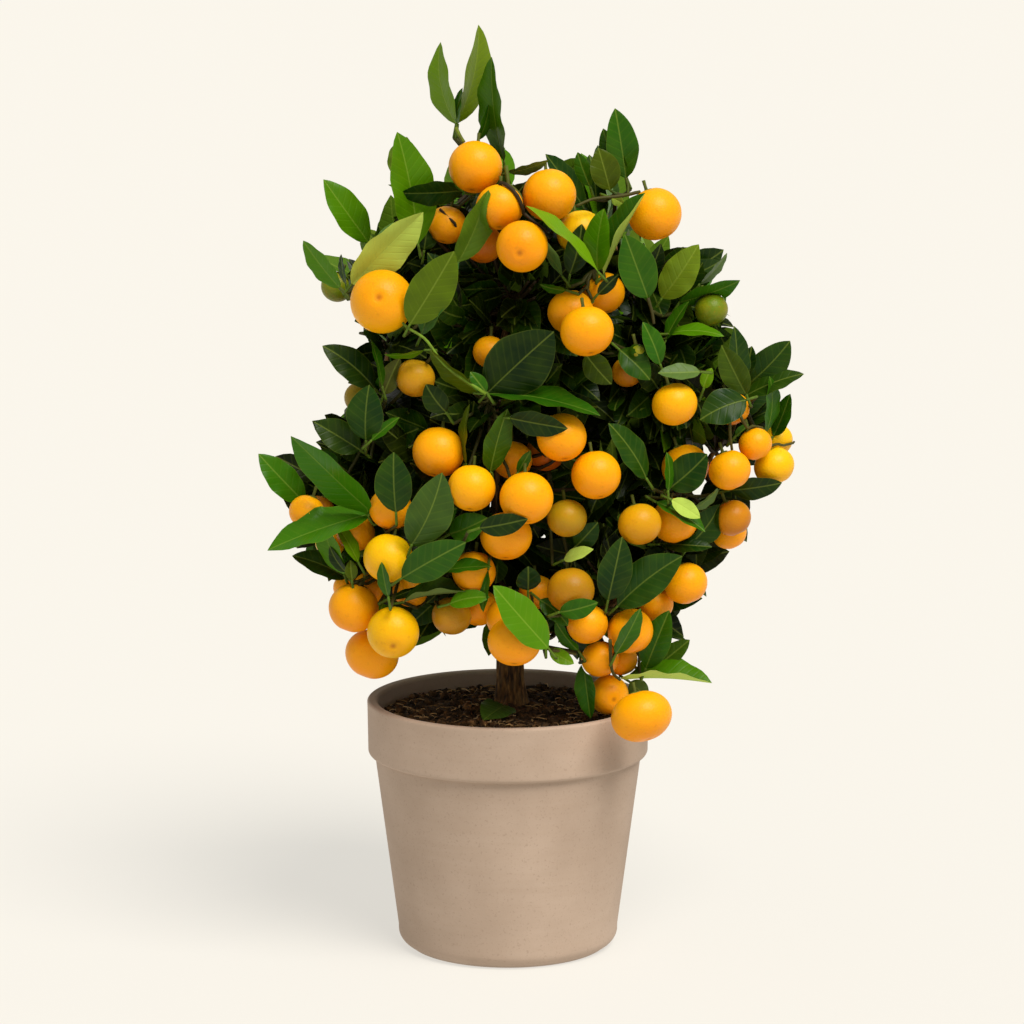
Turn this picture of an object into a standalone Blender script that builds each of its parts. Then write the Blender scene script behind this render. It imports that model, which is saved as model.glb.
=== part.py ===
"""A calamondin (small citrus) tree in a clay pot, as closed solids in metres, +Z up.

The pot is a lathe shape, the soil fills it, the trunk and limbs are tapered tubes. The crown is laid
out as a front elevation in millimetres: each fruit and leaf has a place across and up, as seen by an
eye in front of the tree, and a depth behind the crown's front. Each spray is one branchlet with its
leaves and small fruit, joined into one solid. Fruit and leaves slide along the line of sight until
they clear what is already there.
"""
import math
import random

import bpy
import bmesh
import numpy as np
from mathutils import Matrix, Vector
from mathutils.bvhtree import BVHTree

MM = 0.001

# ---------------------------------------------------------------- driving sizes, mm
RIM_R = 70.0          # outer radius of the rim
LIP_R = 64.5          # inner radius of the lip
RIM_TOP = 124.5
BAND_LOW = 96.0       # underside of the rim band
BODY_TOP_R = 65.8
FOOT_R = 50.0
WALL = 5.5
FLOOR = 8.0
SOIL_TOP = 116.5
DRAIN_R = 2.5
DRAIN_CIRCLE = 30.0
TRUNK_X, TRUNK_Y = 1.5, 14.0
GAP = 0.4             # between two pieces that meet
POT_SIDES = 36

# Where the front elevation is seen from: an eye in front of the tree, looking a little down.
EYE = Vector((0.002, -1.75, 0.5125))
TILT = math.radians(9.55)
SIGHT = 1.799         # mm on the drawing per unit of slope, in metres
AIM = (2.0, 213.0)    # the drawing's centre, mm

SPREAD, REACH, MIDDLE, HALF_HEIGHT, SET_BACK = 148.0, 90.0, 262.0, 192.0, 14.0

# name: (across, up, depth behind the crown's front, radius, height as a part of width, colour)
FRUIT = {
    "fruit_top_left": (-16.5, 385.5, 0, 13.5, 0.97, "ripe"),
    "fruit_left_shoulder": (-63, 318.5, -4, 16, 1.0, "amber"),
    "fruit_top_right": (20.5, 371.5, 0, 13.5, 0.97, "ripe"),
    "fruit_upper_centre": (7, 346, 0, 13, 0.97, "ripe"),
    "fruit_right_top": (73.5, 362, 6, 13.5, 0.97, "ripe"),
    "fruit_right_face": (39.5, 303.5, 0, 13.5, 0.92, "ripe"),
    "fruit_right_shoulder": (83.5, 267, 4, 11.5, 0.92, "amber"),
    "fruit_left_middle": (-35, 243, 4, 13, 0.97, "ripe"),
    "fruit_left_heart": (-18, 225, 0, 12, 0.97, "amber"),
    "fruit_heart": (9, 220, -4, 13.5, 0.97, "ripe"),
    "fruit_right_heart": (27, 250.5, 2, 12.5, 0.97, "ripe"),
    "fruit_right_middle": (44, 231.5, 0, 12.5, 0.97, "ripe"),
    "fruit_under_heart": (-1, 201, -2, 13, 0.92, "ripe"),
    "fruit_lowest_centre": (3, 148.5, -6, 13.5, 0.92, "ripe"),
    "fruit_low_right": (61, 153.5, 2, 11.5, 0.98, "ripe"),
    "fruit_before_rim": (67, 111, 0, 15.5, 0.82, "ripe"),
    "fruit_far_right": (111, 234, 2, 10.7, 0.92, "ripe"),
    "fruit_far_right_tip": (133, 236, 0, 10.3, 0.9, "yellow"),
    "fruit_left_bright": (-60, 190, -4, 12.6, 0.97, "yellow"),
    "fruit_left_low": (-77, 165, 0, 12.6, 0.97, "ripe"),
    "fruit_left_lower": (-57.5, 153, -2, 13.1, 0.96, "yellow"),
    "fruit_left_lowest": (-68, 142, 2, 13.6, 0.9, "ripe"),
}
# One fruit hangs out past the rim, so its depth is set by the rim, not by the crown.
FORWARD = {"fruit_before_rim": 66.0}

# spray: (hub across, up, depth), leaves (base across, up, tip across, up, seen width, depth, lean),
# small fruit (across, up, depth, radius)
SPRAYS = {
    "spray_top": ((-10, 384, 24), [
        (-26, 407, -16, 457, 13, 4, 6), (-26, 407, -33, 448, 11, 6, -6), (-15, 399, -10, 417, 5, 8, 0),
        (-2, 389, -6, 441, 12, 6, 8), (0, 383, 20, 390, 5, 6, 4)],
        [(-4, 365.5, 4, 12), (-12.5, 347, 24, 10)]),
    "spray_top_left": ((-41, 355, 26), [
        (-45, 347, -56, 403, 22, 4, 4), (-22, 374, -54, 373, 12, 6, 8), (-42, 344, -40, 357, 11, 22, 0)],
        [(-30.5, 356.5, 24, 10)]),
    "spray_left_shoulder": ((-76, 328, 26), [
        (-70, 348, -93, 379, 16, 10, 6), (-84, 325, -102, 349, 10, 10, 0),
        (-78, 327, -43, 364, 20, 0, 8)], []),
    "spray_left_face": ((-40, 314, 26), [
        (-49, 307, -27, 344, 22, -4, 8), (-43, 302, -24, 338, 15, -10, 8),
        (-25, 338, -11, 375, 15, -2, 8)], []),
    "spray_top_right": ((54, 372, 26), [
        (59, 380, 53, 415, 16, 16, 4), (59, 381, 48, 405, 11, 22, 0), (51, 374, 45, 395, 15, 16, 0),
        (41, 376, 35, 393, 8, 18, 0)], [(36, 352.5, 22, 12)]),
    "spray_right_upper": ((47, 330, 26), [
        (48, 332, 70, 372, 11, 8, 8), (45, 334, 49, 365, 13, 0, 8), (45, 333, 8, 365, 6, -8, 10),
        (31, 332, 37, 357, 12, 14, 0), (27, 331, 7, 354, 6, 2, 4)],
        [(31.5, 313, 6, 11.7), (47.5, 322.5, 26, 11)]),
    "spray_right_shoulder": ((82, 312, 26), [
        (70, 320, 58, 352, 19, 2, 8), (77, 320, 96, 347, 17, 8, 8), (86, 318, 116, 329, 10, 10, 8),
        (79, 299, 91, 318, 6, 12, 0)], [(101.5, 314, 14, 8.5)]),
    "spray_right_side": ((76, 290, 26), [
        (76, 287, 67, 308, 10, 8, 4), (80, 302, 108, 300, 6, 6, 4), (96, 283, 75, 282, 8, -2, 4),
        (56, 294, 71, 279, 13, 12, 4), (39, 292, 52, 277, 13, 12, 4)], [(59.5, 283, 24, 8)]),
    "spray_far_right": ((117, 268, 20), [
        (114, 272, 113, 306, 11, 8, 4), (119, 272, 107, 297, 14, 2, 4), (120, 277, 141, 299, 17, 6, 4),
        (119, 271, 148, 282, 10, 0, 4), (129, 253, 130, 281, 7, 4, 4), (133, 251, 142, 272, 9, 4, 4),
        (119, 269, 96, 259, 18, -2, 6)],
        [(123.5, 247, 6, 8.5), (134, 249, 14, 8.5), (112.5, 264.5, 16, 8.5)]),
    "spray_right_arm": ((86, 222, 30), [
        (111, 224, 137, 228, 11, 6, 4), (81, 225, 100, 242, 18, -2, 6), (69, 230, 49, 257, 13, 6, 6),
        (74, 218, 98, 202, 8, 0, 6), (91, 197, 106, 217, 15, 12, 0), (76, 197, 102, 195, 9, 14, 4)],
        [(83.5, 209, 16, 12), (88.5, 235.5, 20, 12), (112, 210, 8, 9.5), (110.5, 203, 20, 9),
         (66, 207, 4, 11)]),
    "spray_right_low": ((60, 166, 32), [
        (50, 169, 57, 201, 17, 0, 6), (55, 166, 88, 191, 21, -4, 8), (54, 142, 66, 165, 9, -2, 4),
        (69, 135, 81, 164, 15, 0, 4), (26, 163, 45, 168, 10, -6, 4)],
        [(89, 177.5, 8, 11), (74, 167, 22, 9), (31.5, 174, 6, 12), (39.5, 157, 8, 10.5)]),
    "spray_over_rim": ((54, 141, 25), [
        (56, 129, 102, 126, 12, -6, 10), (76, 137, 91, 149, 9, 8, 0), (38, 137, 42, 110, 10, 2, 4),
        (21, 144, 33, 137, 7, 0, 4)], [(50.5, 121.5, 6, 10), (46, 139.5, 8, 9.5), (57, 139, 12, 8)]),
    "spray_low_centre": ((17, 152, 34), [
        (20, 145, -8, 176, 18, -14, 6), (16, 169, 30, 156, 10, 2, 4), (10, 174, 10, 186, 12, 4, 4)],
        [(1, 160, 6, 12), (14.5, 173, 18, 9)]),
    "spray_heart": ((-9, 270, 28), [
        (-10, 273, 23, 304, 31, -2, 8), (-11, 272, 46, 260, 10, -2, 8), (1, 260, 30, 255, 12, 0, 6),
        (-11, 272, -38, 296, 8, 0, 6), (-9, 233, -1, 265, 13, 0, 4), (-31, 263, -41, 277, 12, 6, 0)],
        [(-9, 293, 20, 8.5)]),
    "spray_under_heart": ((20, 236, 40), [
        (34, 196, 45, 208, 11, 12, 4), (28, 189, 43, 194, 6, 6, 4)],
        [(2, 239, 22, 10), (19, 243, 32, 10), (29.5, 210, 6, 10)]),
    "spray_left_side": ((-66, 260, 28), [
        (-67, 275, -93, 296, 15, 8, 4), (-71, 249, -69, 277, 19, 2, 4), (-74, 244, -97, 258, 16, 4, 4),
        (-62, 272, -54, 290, 10, 10, 0), (-87, 233, -95, 243, 10, 8, 0)],
        [(-46.5, 280, 14, 10), (-73.5, 270, 16, 8.5)]),
    "spray_left_arm": ((-74, 214, 30), [
        (-102, 218, -125, 242, 15, 6, 4), (-68, 213, -107, 253, 17, -4, 6), (-68, 212, -120, 193, 16, -8, 6),
        (-56, 213, -57, 243, 19, 6, 4)],
        [(-100.5, 213, 4, 9), (-94, 214, 18, 7.5), (-58.5, 214.5, 8, 11), (-76.5, 203, 16, 10)]),
    "spray_left_middle": ((-52, 192, 32), [
        (-48, 197, -33, 233, 23, -6, 6), (-49, 197, -25, 215, 15, -2, 6), (-53, 180, -21, 198, 18, -10, 6),
        (-82, 182, -93, 211, 10, 0, 4), (-81, 180, -108, 191, 12, 2, 4), (-29, 202, -10, 210, 14, 0, 4)],
        [(-89, 197.5, 18, 7.5), (-69, 175, 22, 8.5), (-80, 175, 26, 7.5)]),
    "spray_left_low": ((-34, 174, 34), [
        (-52, 168, -18, 171, 12, -4, 6), (-29, 167, -9, 170, 9, -8, 4), (-14, 205, 10, 210, 11, 12, 4),
        (-34, 183, -8, 185, 6, -2, 4)],
        [(-17, 183, 4, 11), (-28, 161, 6, 10), (-15, 165.5, 18, 10), (-49, 174, 20, 9)]),
}
# The back of the crown repeats some sprays, turned about the trunk: (source spray, turn in degrees)
BACK = {
    "spray_back_top": ("spray_top_left", 168),
    "spray_back_top_side": ("spray_top_right", 194),
    "spray_back_shoulder_left": ("spray_right_shoulder", 172),
    "spray_back_shoulder_right": ("spray_left_shoulder", 190),
    "spray_back_heart": ("spray_heart", 182),
    "spray_back_side_left": ("spray_right_side", 168),
    "spray_back_side_right": ("spray_left_side", 195),
    "spray_back_middle": ("spray_left_face", 160),
    "spray_back_low_left": ("spray_right_low", 176),
    "spray_back_low_right": ("spray_left_middle", 188),
}

# limb: points (x, y, z) mm from the trunk outwards, radius at each end
TRUNK = [(1.5, 14, 108, 9.5), (1.5, 14, 121, 8.2), (1.2, 14, 133, 7.0), (1.5, 13, 160, 6.4), (2.5, 13, 186, 5.6)]
LIMBS = {
    "limb_leader": [(2.5, 13, 188, 5.0), (0, 12, 230, 4.0), (-4, 14, 275, 3.4), (-8, 16, 320, 2.8),
                    (-6, 14, 362, 2.0), (-16, 6, 392, 1.3)],
    "limb_left": [(-9, 13, 174, 3.6), (-28, 8, 190, 3.0), (-52, 2, 222, 2.4), (-60, 2, 268, 2.0),
                  (-56, 2, 320, 1.5)],
    "limb_right": [(13.5, 13, 172, 3.8), (34, 10, 196, 3.2), (56, 6, 232, 2.7), (68, 4, 272, 2.2),
                   (62, 4, 318, 1.8), (50, 6, 356, 1.3)],
    "limb_low_right": [(12, 4, 156, 2.6), (40, -8, 166, 2.2), (66, -10, 190, 1.8), (86, -8, 226, 1.5),
                       (102, -4, 250, 1.2)],
    "limb_front": [(2, 2, 166, 3.0), (-6, -16, 190, 2.5), (-6, -26, 236, 2.0), (-6, -26, 280, 1.7),
                   (2, -24, 330, 1.3)],
    "limb_back": [(2, 25, 166, 3.2), (6, 44, 196, 2.7), (-4, 56, 240, 2.2), (4, 54, 290, 1.8),
                  (-2, 44, 340, 1.3)],
}

COLOURS = {
    "ripe": (0.90, 0.36, 0.01), "amber": (0.88, 0.42, 0.015), "yellow": (0.92, 0.58, 0.02),
}


# ---------------------------------------------------------------- places
def crown_front(across, up):
    """How far forward of the trunk plane the crown's front is, mm: an ellipsoid, set back a little."""
    fall = (across / SPREAD) ** 2 + ((up - MIDDLE) / HALF_HEIGHT) ** 2
    return REACH * math.sqrt(max(0.06, 1.0 - fall)) - SET_BACK


def spot(across, up, forward):
    """The point seen at (across, up) on the front elevation, at this distance forward, and its scale."""
    side = (across - AIM[0]) * MM / SIGHT
    rise = (up - AIM[1]) * MM / SIGHT
    line = Vector((side, math.cos(TILT) + rise * math.sin(TILT), -math.sin(TILT) + rise * math.cos(TILT)))
    along = (-forward * MM - EYE.y) / line.y
    return EYE + line * along, along / SIGHT


# ---------------------------------------------------------------- plain solids, as (points, faces)
def lathe(profile, sides):
    """A profile of (radius, height) from the bottom pole to the top pole, turned about Z."""
    points = [(0.0, 0.0, profile[0][1])]
    for radius, height in profile[1:-1]:
        for k in range(sides):
            turn = 2 * math.pi * k / sides
            points.append((radius * math.cos(turn), radius * math.sin(turn), height))
    points.append((0.0, 0.0, profile[-1][1]))
    rings = len(profile) - 2
    faces = []
    for k in range(sides):
        nxt = (k + 1) % sides
        faces.append((0, 1 + nxt, 1 + k))
        for ring in range(rings - 1):
            low = 1 + ring * sides
            faces.append((low + k, low + nxt, low + sides + nxt, low + sides + k))
        last = 1 + (rings - 1) * sides
        faces.append((last + k, last + nxt, len(points) - 1))
    return [Vector(p) * MM for p in points], faces


def tube(path, radii, sides):
    """A tapered tube along the path, closed at both ends by one point."""
    path = [Vector(p) for p in path]
    ahead = (path[1] - path[0]).normalized()
    across = ahead.orthogonal().normalized()
    points = [path[0]]
    for i, centre in enumerate(path):
        before = path[max(i - 1, 0)]
        after = path[min(i + 1, len(path) - 1)]
        ahead = (after - before).normalized()
        across = (across - ahead * across.dot(ahead)).normalized()
        other = ahead.cross(across)
        for k in range(sides):
            turn = 2 * math.pi * k / sides
            points.append(centre + (across * math.cos(turn) + other * math.sin(turn)) * radii[i])
    points.append(path[-1])
    faces = []
    count = len(path)
    for k in range(sides):
        nxt = (k + 1) % sides
        faces.append((0, 1 + nxt, 1 + k))
        for ring in range(count - 1):
            low = 1 + ring * sides
            faces.append((low + k, low + nxt, low + sides + nxt, low + sides + k))
        last = 1 + (count - 1) * sides
        faces.append((last + k, last + nxt, len(points) - 1))
    return points, faces


def blade(base, tip, width, roll, eye=EYE):
    """A leaf as a thin lens: one outline with a rounded top and bottom, its face turned to the eye."""
    along = tip - base
    sight = (eye - (base + tip) / 2).normalized()
    side = along.cross(sight).normalized()
    face = side.cross(along).normalized()
    seen = min(1.0, width / max(width, 0.46 * along.length))
    turn = roll * math.acos(seen)
    full = width / max(seen, 0.2)
    full = min(full, 0.56 * along.length + 2 * MM)
    side, face = (side * math.cos(turn) + face * math.sin(turn),
                  face * math.cos(turn) - side * math.sin(turn))
    points = [base]
    for share, wide in ((0.2, 0.72), (0.48, 1.0), (0.78, 0.74)):
        arch = face * (along.length * 0.22 * share * (1 - share))
        middle = base + along * share + arch
        lift = face * (full * 0.10 * wide)
        points += [middle - side * full / 2 * wide + lift, middle + side * full / 2 * wide + lift,
                   middle + face * 0.6 * MM, middle - face * 0.6 * MM]
    points.append(tip)
    end = len(points) - 1
    faces = [(0, 3, 1), (0, 2, 3), (0, 1, 4), (0, 4, 2)]
    for ring in (1, 5):
        left, right, top, low = ring, ring + 1, ring + 2, ring + 3
        faces += [(left, top, top + 4, left + 4), (top, right, right + 4, top + 4),
                  (low, left, left + 4, low + 4), (right, low, low + 4, right + 4)]
    faces += [(end, 9, 11), (end, 11, 10), (end, 12, 9), (end, 10, 12)]
    return points, faces


def ball(centre, radius, fineness=2):
    """A ball of 20 or 80 faces."""
    mesh = bmesh.new()
    bmesh.ops.create_icosphere(mesh, subdivisions=fineness, radius=radius)
    points = [centre + v.co for v in mesh.verts]
    faces = [tuple(v.index for v in f.verts) for f in mesh.faces]
    mesh.free()
    return points, faces


# ---------------------------------------------------------------- objects
def material(name, colour, roughness, metallic=0.0):
    made = bpy.data.materials.new(name)
    made.use_nodes = True
    shader = made.node_tree.nodes["Principled BSDF"]
    shader.inputs["Base Color"].default_value = (*colour, 1.0)
    shader.inputs["Roughness"].default_value = roughness
    shader.inputs["Metallic"].default_value = metallic
    return made


def add(name, solid, finish=None):
    """One object from a (points, faces) solid, with its faces turned outwards."""
    points, faces = solid
    mesh = bpy.data.meshes.new(name)
    mesh.from_pydata([tuple(p) for p in points], [], faces)
    work = bmesh.new()
    work.from_mesh(mesh)
    bmesh.ops.recalc_face_normals(work, faces=work.faces)
    work.to_mesh(mesh)
    work.free()
    made = bpy.data.objects.new(name, mesh)
    bpy.context.scene.collection.objects.link(made)
    if finish:
        mesh.materials.append(finish)
    return made


def join(name, solids, finish):
    """The union of closed solids as one body; any part that stays apart from the main one is dropped."""
    base = add(name, solids[0])
    group = bpy.data.collections.new(name + "_pieces")
    pieces = [add(name + "_piece", solid) for solid in solids[1:]]
    for piece in pieces:
        bpy.context.scene.collection.objects.unlink(piece)
        group.objects.link(piece)
    union = base.modifiers.new("join", "BOOLEAN")
    union.operation = "UNION"
    union.operand_type = "COLLECTION"
    union.collection = group
    union.solver = "MANIFOLD"
    bpy.context.view_layer.update()
    graph = bpy.context.evaluated_depsgraph_get()
    mesh = bpy.data.meshes.new_from_object(base.evaluated_get(graph))
    base.modifiers.clear()
    base.data = mesh
    for piece in pieces:
        bpy.data.objects.remove(piece)
    bpy.data.collections.remove(group)
    keep_largest(mesh, name)
    mesh.materials.clear()
    mesh.materials.append(finish)
    return base


def keep_largest(mesh, name):
    """Keeps the connected part of a mesh that has the most points."""
    work = bmesh.new()
    work.from_mesh(mesh)
    left = set(work.verts)
    parts = []
    while left:
        seed = left.pop()
        found = {seed}
        edge = [seed]
        while edge:
            vert = edge.pop()
            for link in vert.link_edges:
                other = link.other_vert(vert)
                if other not in found:
                    found.add(other)
                    edge.append(other)
        left -= found
        parts.append(found)
    parts.sort(key=len, reverse=True)
    if len(parts) > 1:
        print(f"{name}: {len(parts) - 1} loose parts dropped, of {[len(p) for p in parts[1:]]} points")
    for part in parts[1:]:
        bmesh.ops.delete(work, geom=list(part), context="VERTS")
    work.to_mesh(mesh)
    work.free()


class Taken:
    """The space already used: the triangles of finished pieces, and each fruit as a centre and radius."""

    def __init__(self):
        self.points = []
        self.faces = []
        self.balls = []
        self.tree = None

    def put(self, solid):
        points, faces = solid
        start = len(self.points)
        self.points += [Vector(p) for p in points]
        self.faces += [tuple(start + i for i in face) for face in faces]
        self.tree = None

    def put_object(self, obj):
        mesh = obj.data
        self.put(([v.co.copy() for v in mesh.vertices], [tuple(p.vertices) for p in mesh.polygons]))

    def clear(self, solid, margin=0.6 * MM, skip=()):
        points, faces = solid
        if self.tree is None:
            self.tree = BVHTree.FromPolygons(self.points, self.faces)
        if self.tree.overlap(BVHTree.FromPolygons(points, faces)):
            return False
        corners = np.array([tuple(p) for p in points])
        sample = [corners]
        for face in faces:
            ring = corners[list(face)]
            sample += [ring.mean(axis=0)[None], (ring + np.roll(ring, 1, axis=0)) / 2]
        sample = np.concatenate(sample)
        for middle, radius in self.balls:
            if (middle, radius) in skip:
                continue
            if (np.linalg.norm(sample - np.array(middle), axis=1) < radius + margin).any():
                return False
        return True


def along_clear(taken, start, end, radius, rng, skip=(), tries=260):
    """A path of straight runs from start to end that keeps clear of what is there, or None."""
    straight = [start, end]
    if taken.clear(tube(straight, [radius] * 2, 4), skip=skip):
        return straight
    best = None
    span = (end - start).length
    for i in range(tries):
        reach = (6 + 34 * i / tries) * MM
        bend = start.lerp(end, rng.uniform(0.2, 0.8))
        bend += Vector([rng.uniform(-1, 1) for _ in range(3)]) * reach
        path = [start, bend, end]
        if i > tries // 2:
            second = start.lerp(end, rng.uniform(0.5, 0.9))
            second += Vector([rng.uniform(-1, 1) for _ in range(3)]) * reach
            path = [start, bend, second, end]
        length = sum((b - a).length for a, b in zip(path, path[1:]))
        if best and length >= best[0] or length > span + 0.09:
            continue
        if taken.clear(tube(path, [radius] * len(path), 4), skip=skip):
            best = (length, path)
    return best[1] if best else None


# ---------------------------------------------------------------- the pot, soil and wood
def build_pot():
    profile = [
        (0, 0), (FOOT_R - 1.2, 0), (FOOT_R + 2.0, 1.6), (FOOT_R + 3.9, 7.0), (BODY_TOP_R, BAND_LOW - 1.6),
        (BODY_TOP_R + 0.7, BAND_LOW), (RIM_R - 0.5, BAND_LOW + 5.0), (RIM_R, RIM_TOP - 2.6),
        (RIM_R - 1.3, RIM_TOP - 0.5), (RIM_R - 2.8, RIM_TOP), (LIP_R + 1.0, RIM_TOP - 0.9),
        (LIP_R, RIM_TOP - 3.0), (LIP_R - 1.0, BAND_LOW), (FOOT_R - 3.4, FLOOR), (0, FLOOR),
    ]
    pot = add("pot", lathe(profile, POT_SIDES), material("clay", (0.50, 0.385, 0.27), 0.85))
    cutters = []
    for k in range(4):
        turn = math.radians(45 + 90 * k)
        drain = add(f"drain_{k + 1}", lathe([(0, -5), (DRAIN_R, -5), (DRAIN_R, FLOOR + 5), (0, FLOOR + 5)], 10))
        drain.location = (DRAIN_CIRCLE * MM * math.cos(turn), DRAIN_CIRCLE * MM * math.sin(turn), 0)
        drain.hide_render = True
        drain.display_type = "WIRE"
        cut = pot.modifiers.new(f"drain_{k + 1}", "BOOLEAN")
        cut.operation = "DIFFERENCE"
        cut.solver = "EXACT"
        cut.object = drain
        cutters.append(drain)
    return pot


def build_soil(trunk):
    """The root ball: it fills the pot to below the lip, a little mounded, and holds the trunk's foot."""
    top = LIP_R - 0.6 - GAP
    profile = [
        (0, FLOOR + GAP), (FOOT_R - 4.0, FLOOR + GAP + 0.6), (LIP_R - 1.9 - GAP, BAND_LOW),
        (top - 0.6, SOIL_TOP - 1.0), (40, SOIL_TOP + 1.2), (0, SOIL_TOP + 3.6),
    ]
    soil = add("soil", lathe(profile, 24), material("soil", (0.028, 0.018, 0.011), 0.95))
    rings = [(p[0], p[1], p[2] if i else p[2] - 3, p[3] + GAP) for i, p in enumerate(TRUNK[:3])]
    socket = add("trunk_socket", tube([Vector(r[:3]) * MM for r in rings], [r[3] * MM for r in rings], 12))
    socket.hide_render = True
    socket.display_type = "WIRE"
    cut = soil.modifiers.new("trunk_socket", "BOOLEAN")
    cut.operation = "DIFFERENCE"
    cut.solver = "EXACT"
    cut.object = socket
    return soil


def build_trunk(bark):
    path = [Vector(p[:3]) * MM for p in TRUNK]
    return add("trunk", tube(path, [p[3] * MM for p in TRUNK], 12), bark)


def build_limb(name, points, taken, bark):
    """A limb from its first point to its last; points between slide back until the run is clear."""
    rng = random.Random(name)
    path = [Vector(points[0][:3]) * MM]
    radii = [points[0][3] * MM]
    for point in points[1:]:
        goal = Vector(point[:3]) * MM
        radius = point[3] * MM
        run = along_clear(taken, path[-1] + (goal - path[-1]) * 0.03, goal, max(radius, radii[-1]) + 0.5 * MM, rng)
        if run is None:
            print(f"{name}: no clear way to {point}")
            continue
        for step, middle in enumerate(run[1:-1]):
            path.append(middle)
            radii.append(radii[-1] + (radius - radii[-1]) * 0.5)
        path.append(goal)
        radii.append(radius)
    return add(name, tube(path, radii, 7), bark), path, radii


# ---------------------------------------------------------------- fruit
def settle(places):
    """Slides touching fruit apart along the line of sight, so the front elevation stays as drawn.

    places: lists of [across, up, forward, radius, fixed]. Each round, a pair closer than the sum of
    its radii moves apart in depth by half of what is missing, the nearer one forward.
    """
    for _ in range(400):
        moved = False
        spots = [spot(p[0], p[1], p[2]) for p in places]
        for i, one in enumerate(places):
            for j in range(i + 1, len(places)):
                two = places[j]
                need = (one[3] + two[3]) * MM * 0.99 + 0.5 * MM
                apart = spots[i][0] - spots[j][0]
                if apart.length >= need:
                    continue
                step = (need - apart.length) / MM * 0.6 + 0.15
                nearer = 1 if one[2] >= two[2] else -1
                if not one[4]:
                    one[2] += step * nearer
                if not two[4]:
                    two[2] -= step * nearer
                spots[i] = spot(*one[:3])
                spots[j] = spot(*two[:3])
                moved = True
        if not moved:
            break
    return places


def lay_out_fruit():
    """Every fruit's (centre, radius): the named ones and the small ones of each front spray."""
    keys = []
    places = []
    for name, (across, up, depth, radius, _, _) in FRUIT.items():
        fixed = name in FORWARD
        keys.append(name)
        places.append([across, up, FORWARD[name] if fixed else crown_front(across, up) - depth, radius, fixed])
    for spray, (_, _, small) in SPRAYS.items():
        for k, (across, up, depth, radius) in enumerate(small):
            keys.append((spray, k))
            places.append([across, up, crown_front(across, up) - depth, radius, False])
    settle(places)
    found = {}
    for key, (across, up, forward, radius, _) in zip(keys, places):
        centre, scale = spot(across, up, forward)
        found[key] = (centre, radius * scale * MM)
    return found


def fruit_axis(centre, radius, stem_to, balls):
    """The fruit's axis: up towards the branch, leant over until its stalk clears the other fruit."""
    up = stem_to - centre
    up = Vector((up.x * 0.6, up.y * 0.6, max(abs(up.z), 0.02))).normalized()
    aside = up.orthogonal().normalized()
    for lean in (0, 15, 30, 45):
        for k in range(8):
            tilt = Matrix.Rotation(math.radians(45 * k), 3, up) @ aside
            axis = (up * math.cos(math.radians(lean)) + tilt * math.sin(math.radians(lean))).normalized()
            end = centre + axis * (radius + 3.5 * MM)
            if all((end - b).length > r + 1.4 * MM for b, r in balls if b != centre):
                return axis
    return up


def build_fruit(name, centre, radius, squash, finish, up):
    """A slightly flattened fruit with a calyx and a short stalk, its axis towards the branch."""
    tall = radius * squash / MM
    wide = radius / MM
    profile = [
        (0, -tall), (0.66 * wide, -0.76 * tall), (wide, -0.22 * tall), (0.98 * wide, 0.26 * tall),
        (0.62 * wide, 0.80 * tall), (1.3, 0.97 * tall), (0.9, 0.97 * tall + 3.0), (0, 0.97 * tall + 3.2),
    ]
    turn = Vector((0, 0, 1)).rotation_difference(up).to_matrix()
    points, faces = lathe(profile, 11)
    return add(name, ([centre + turn @ p for p in points], faces), finish)


# ---------------------------------------------------------------- sprays
def turned(point, degrees):
    """A point turned about the trunk's upright axis."""
    axis = Vector((TRUNK_X * MM, TRUNK_Y * MM, 0))
    return Matrix.Rotation(math.radians(degrees), 3, "Z") @ (point - axis) + axis


def nearest_wood(wood, point, reach):
    """The nearest point of the limbs' middle lines, moved out to the bark's surface."""
    best = min(wood, key=lambda w: (w[0] - point).length)
    out = (point - best[0]).normalized()
    return best[0] + out * (best[1] + reach)


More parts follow.
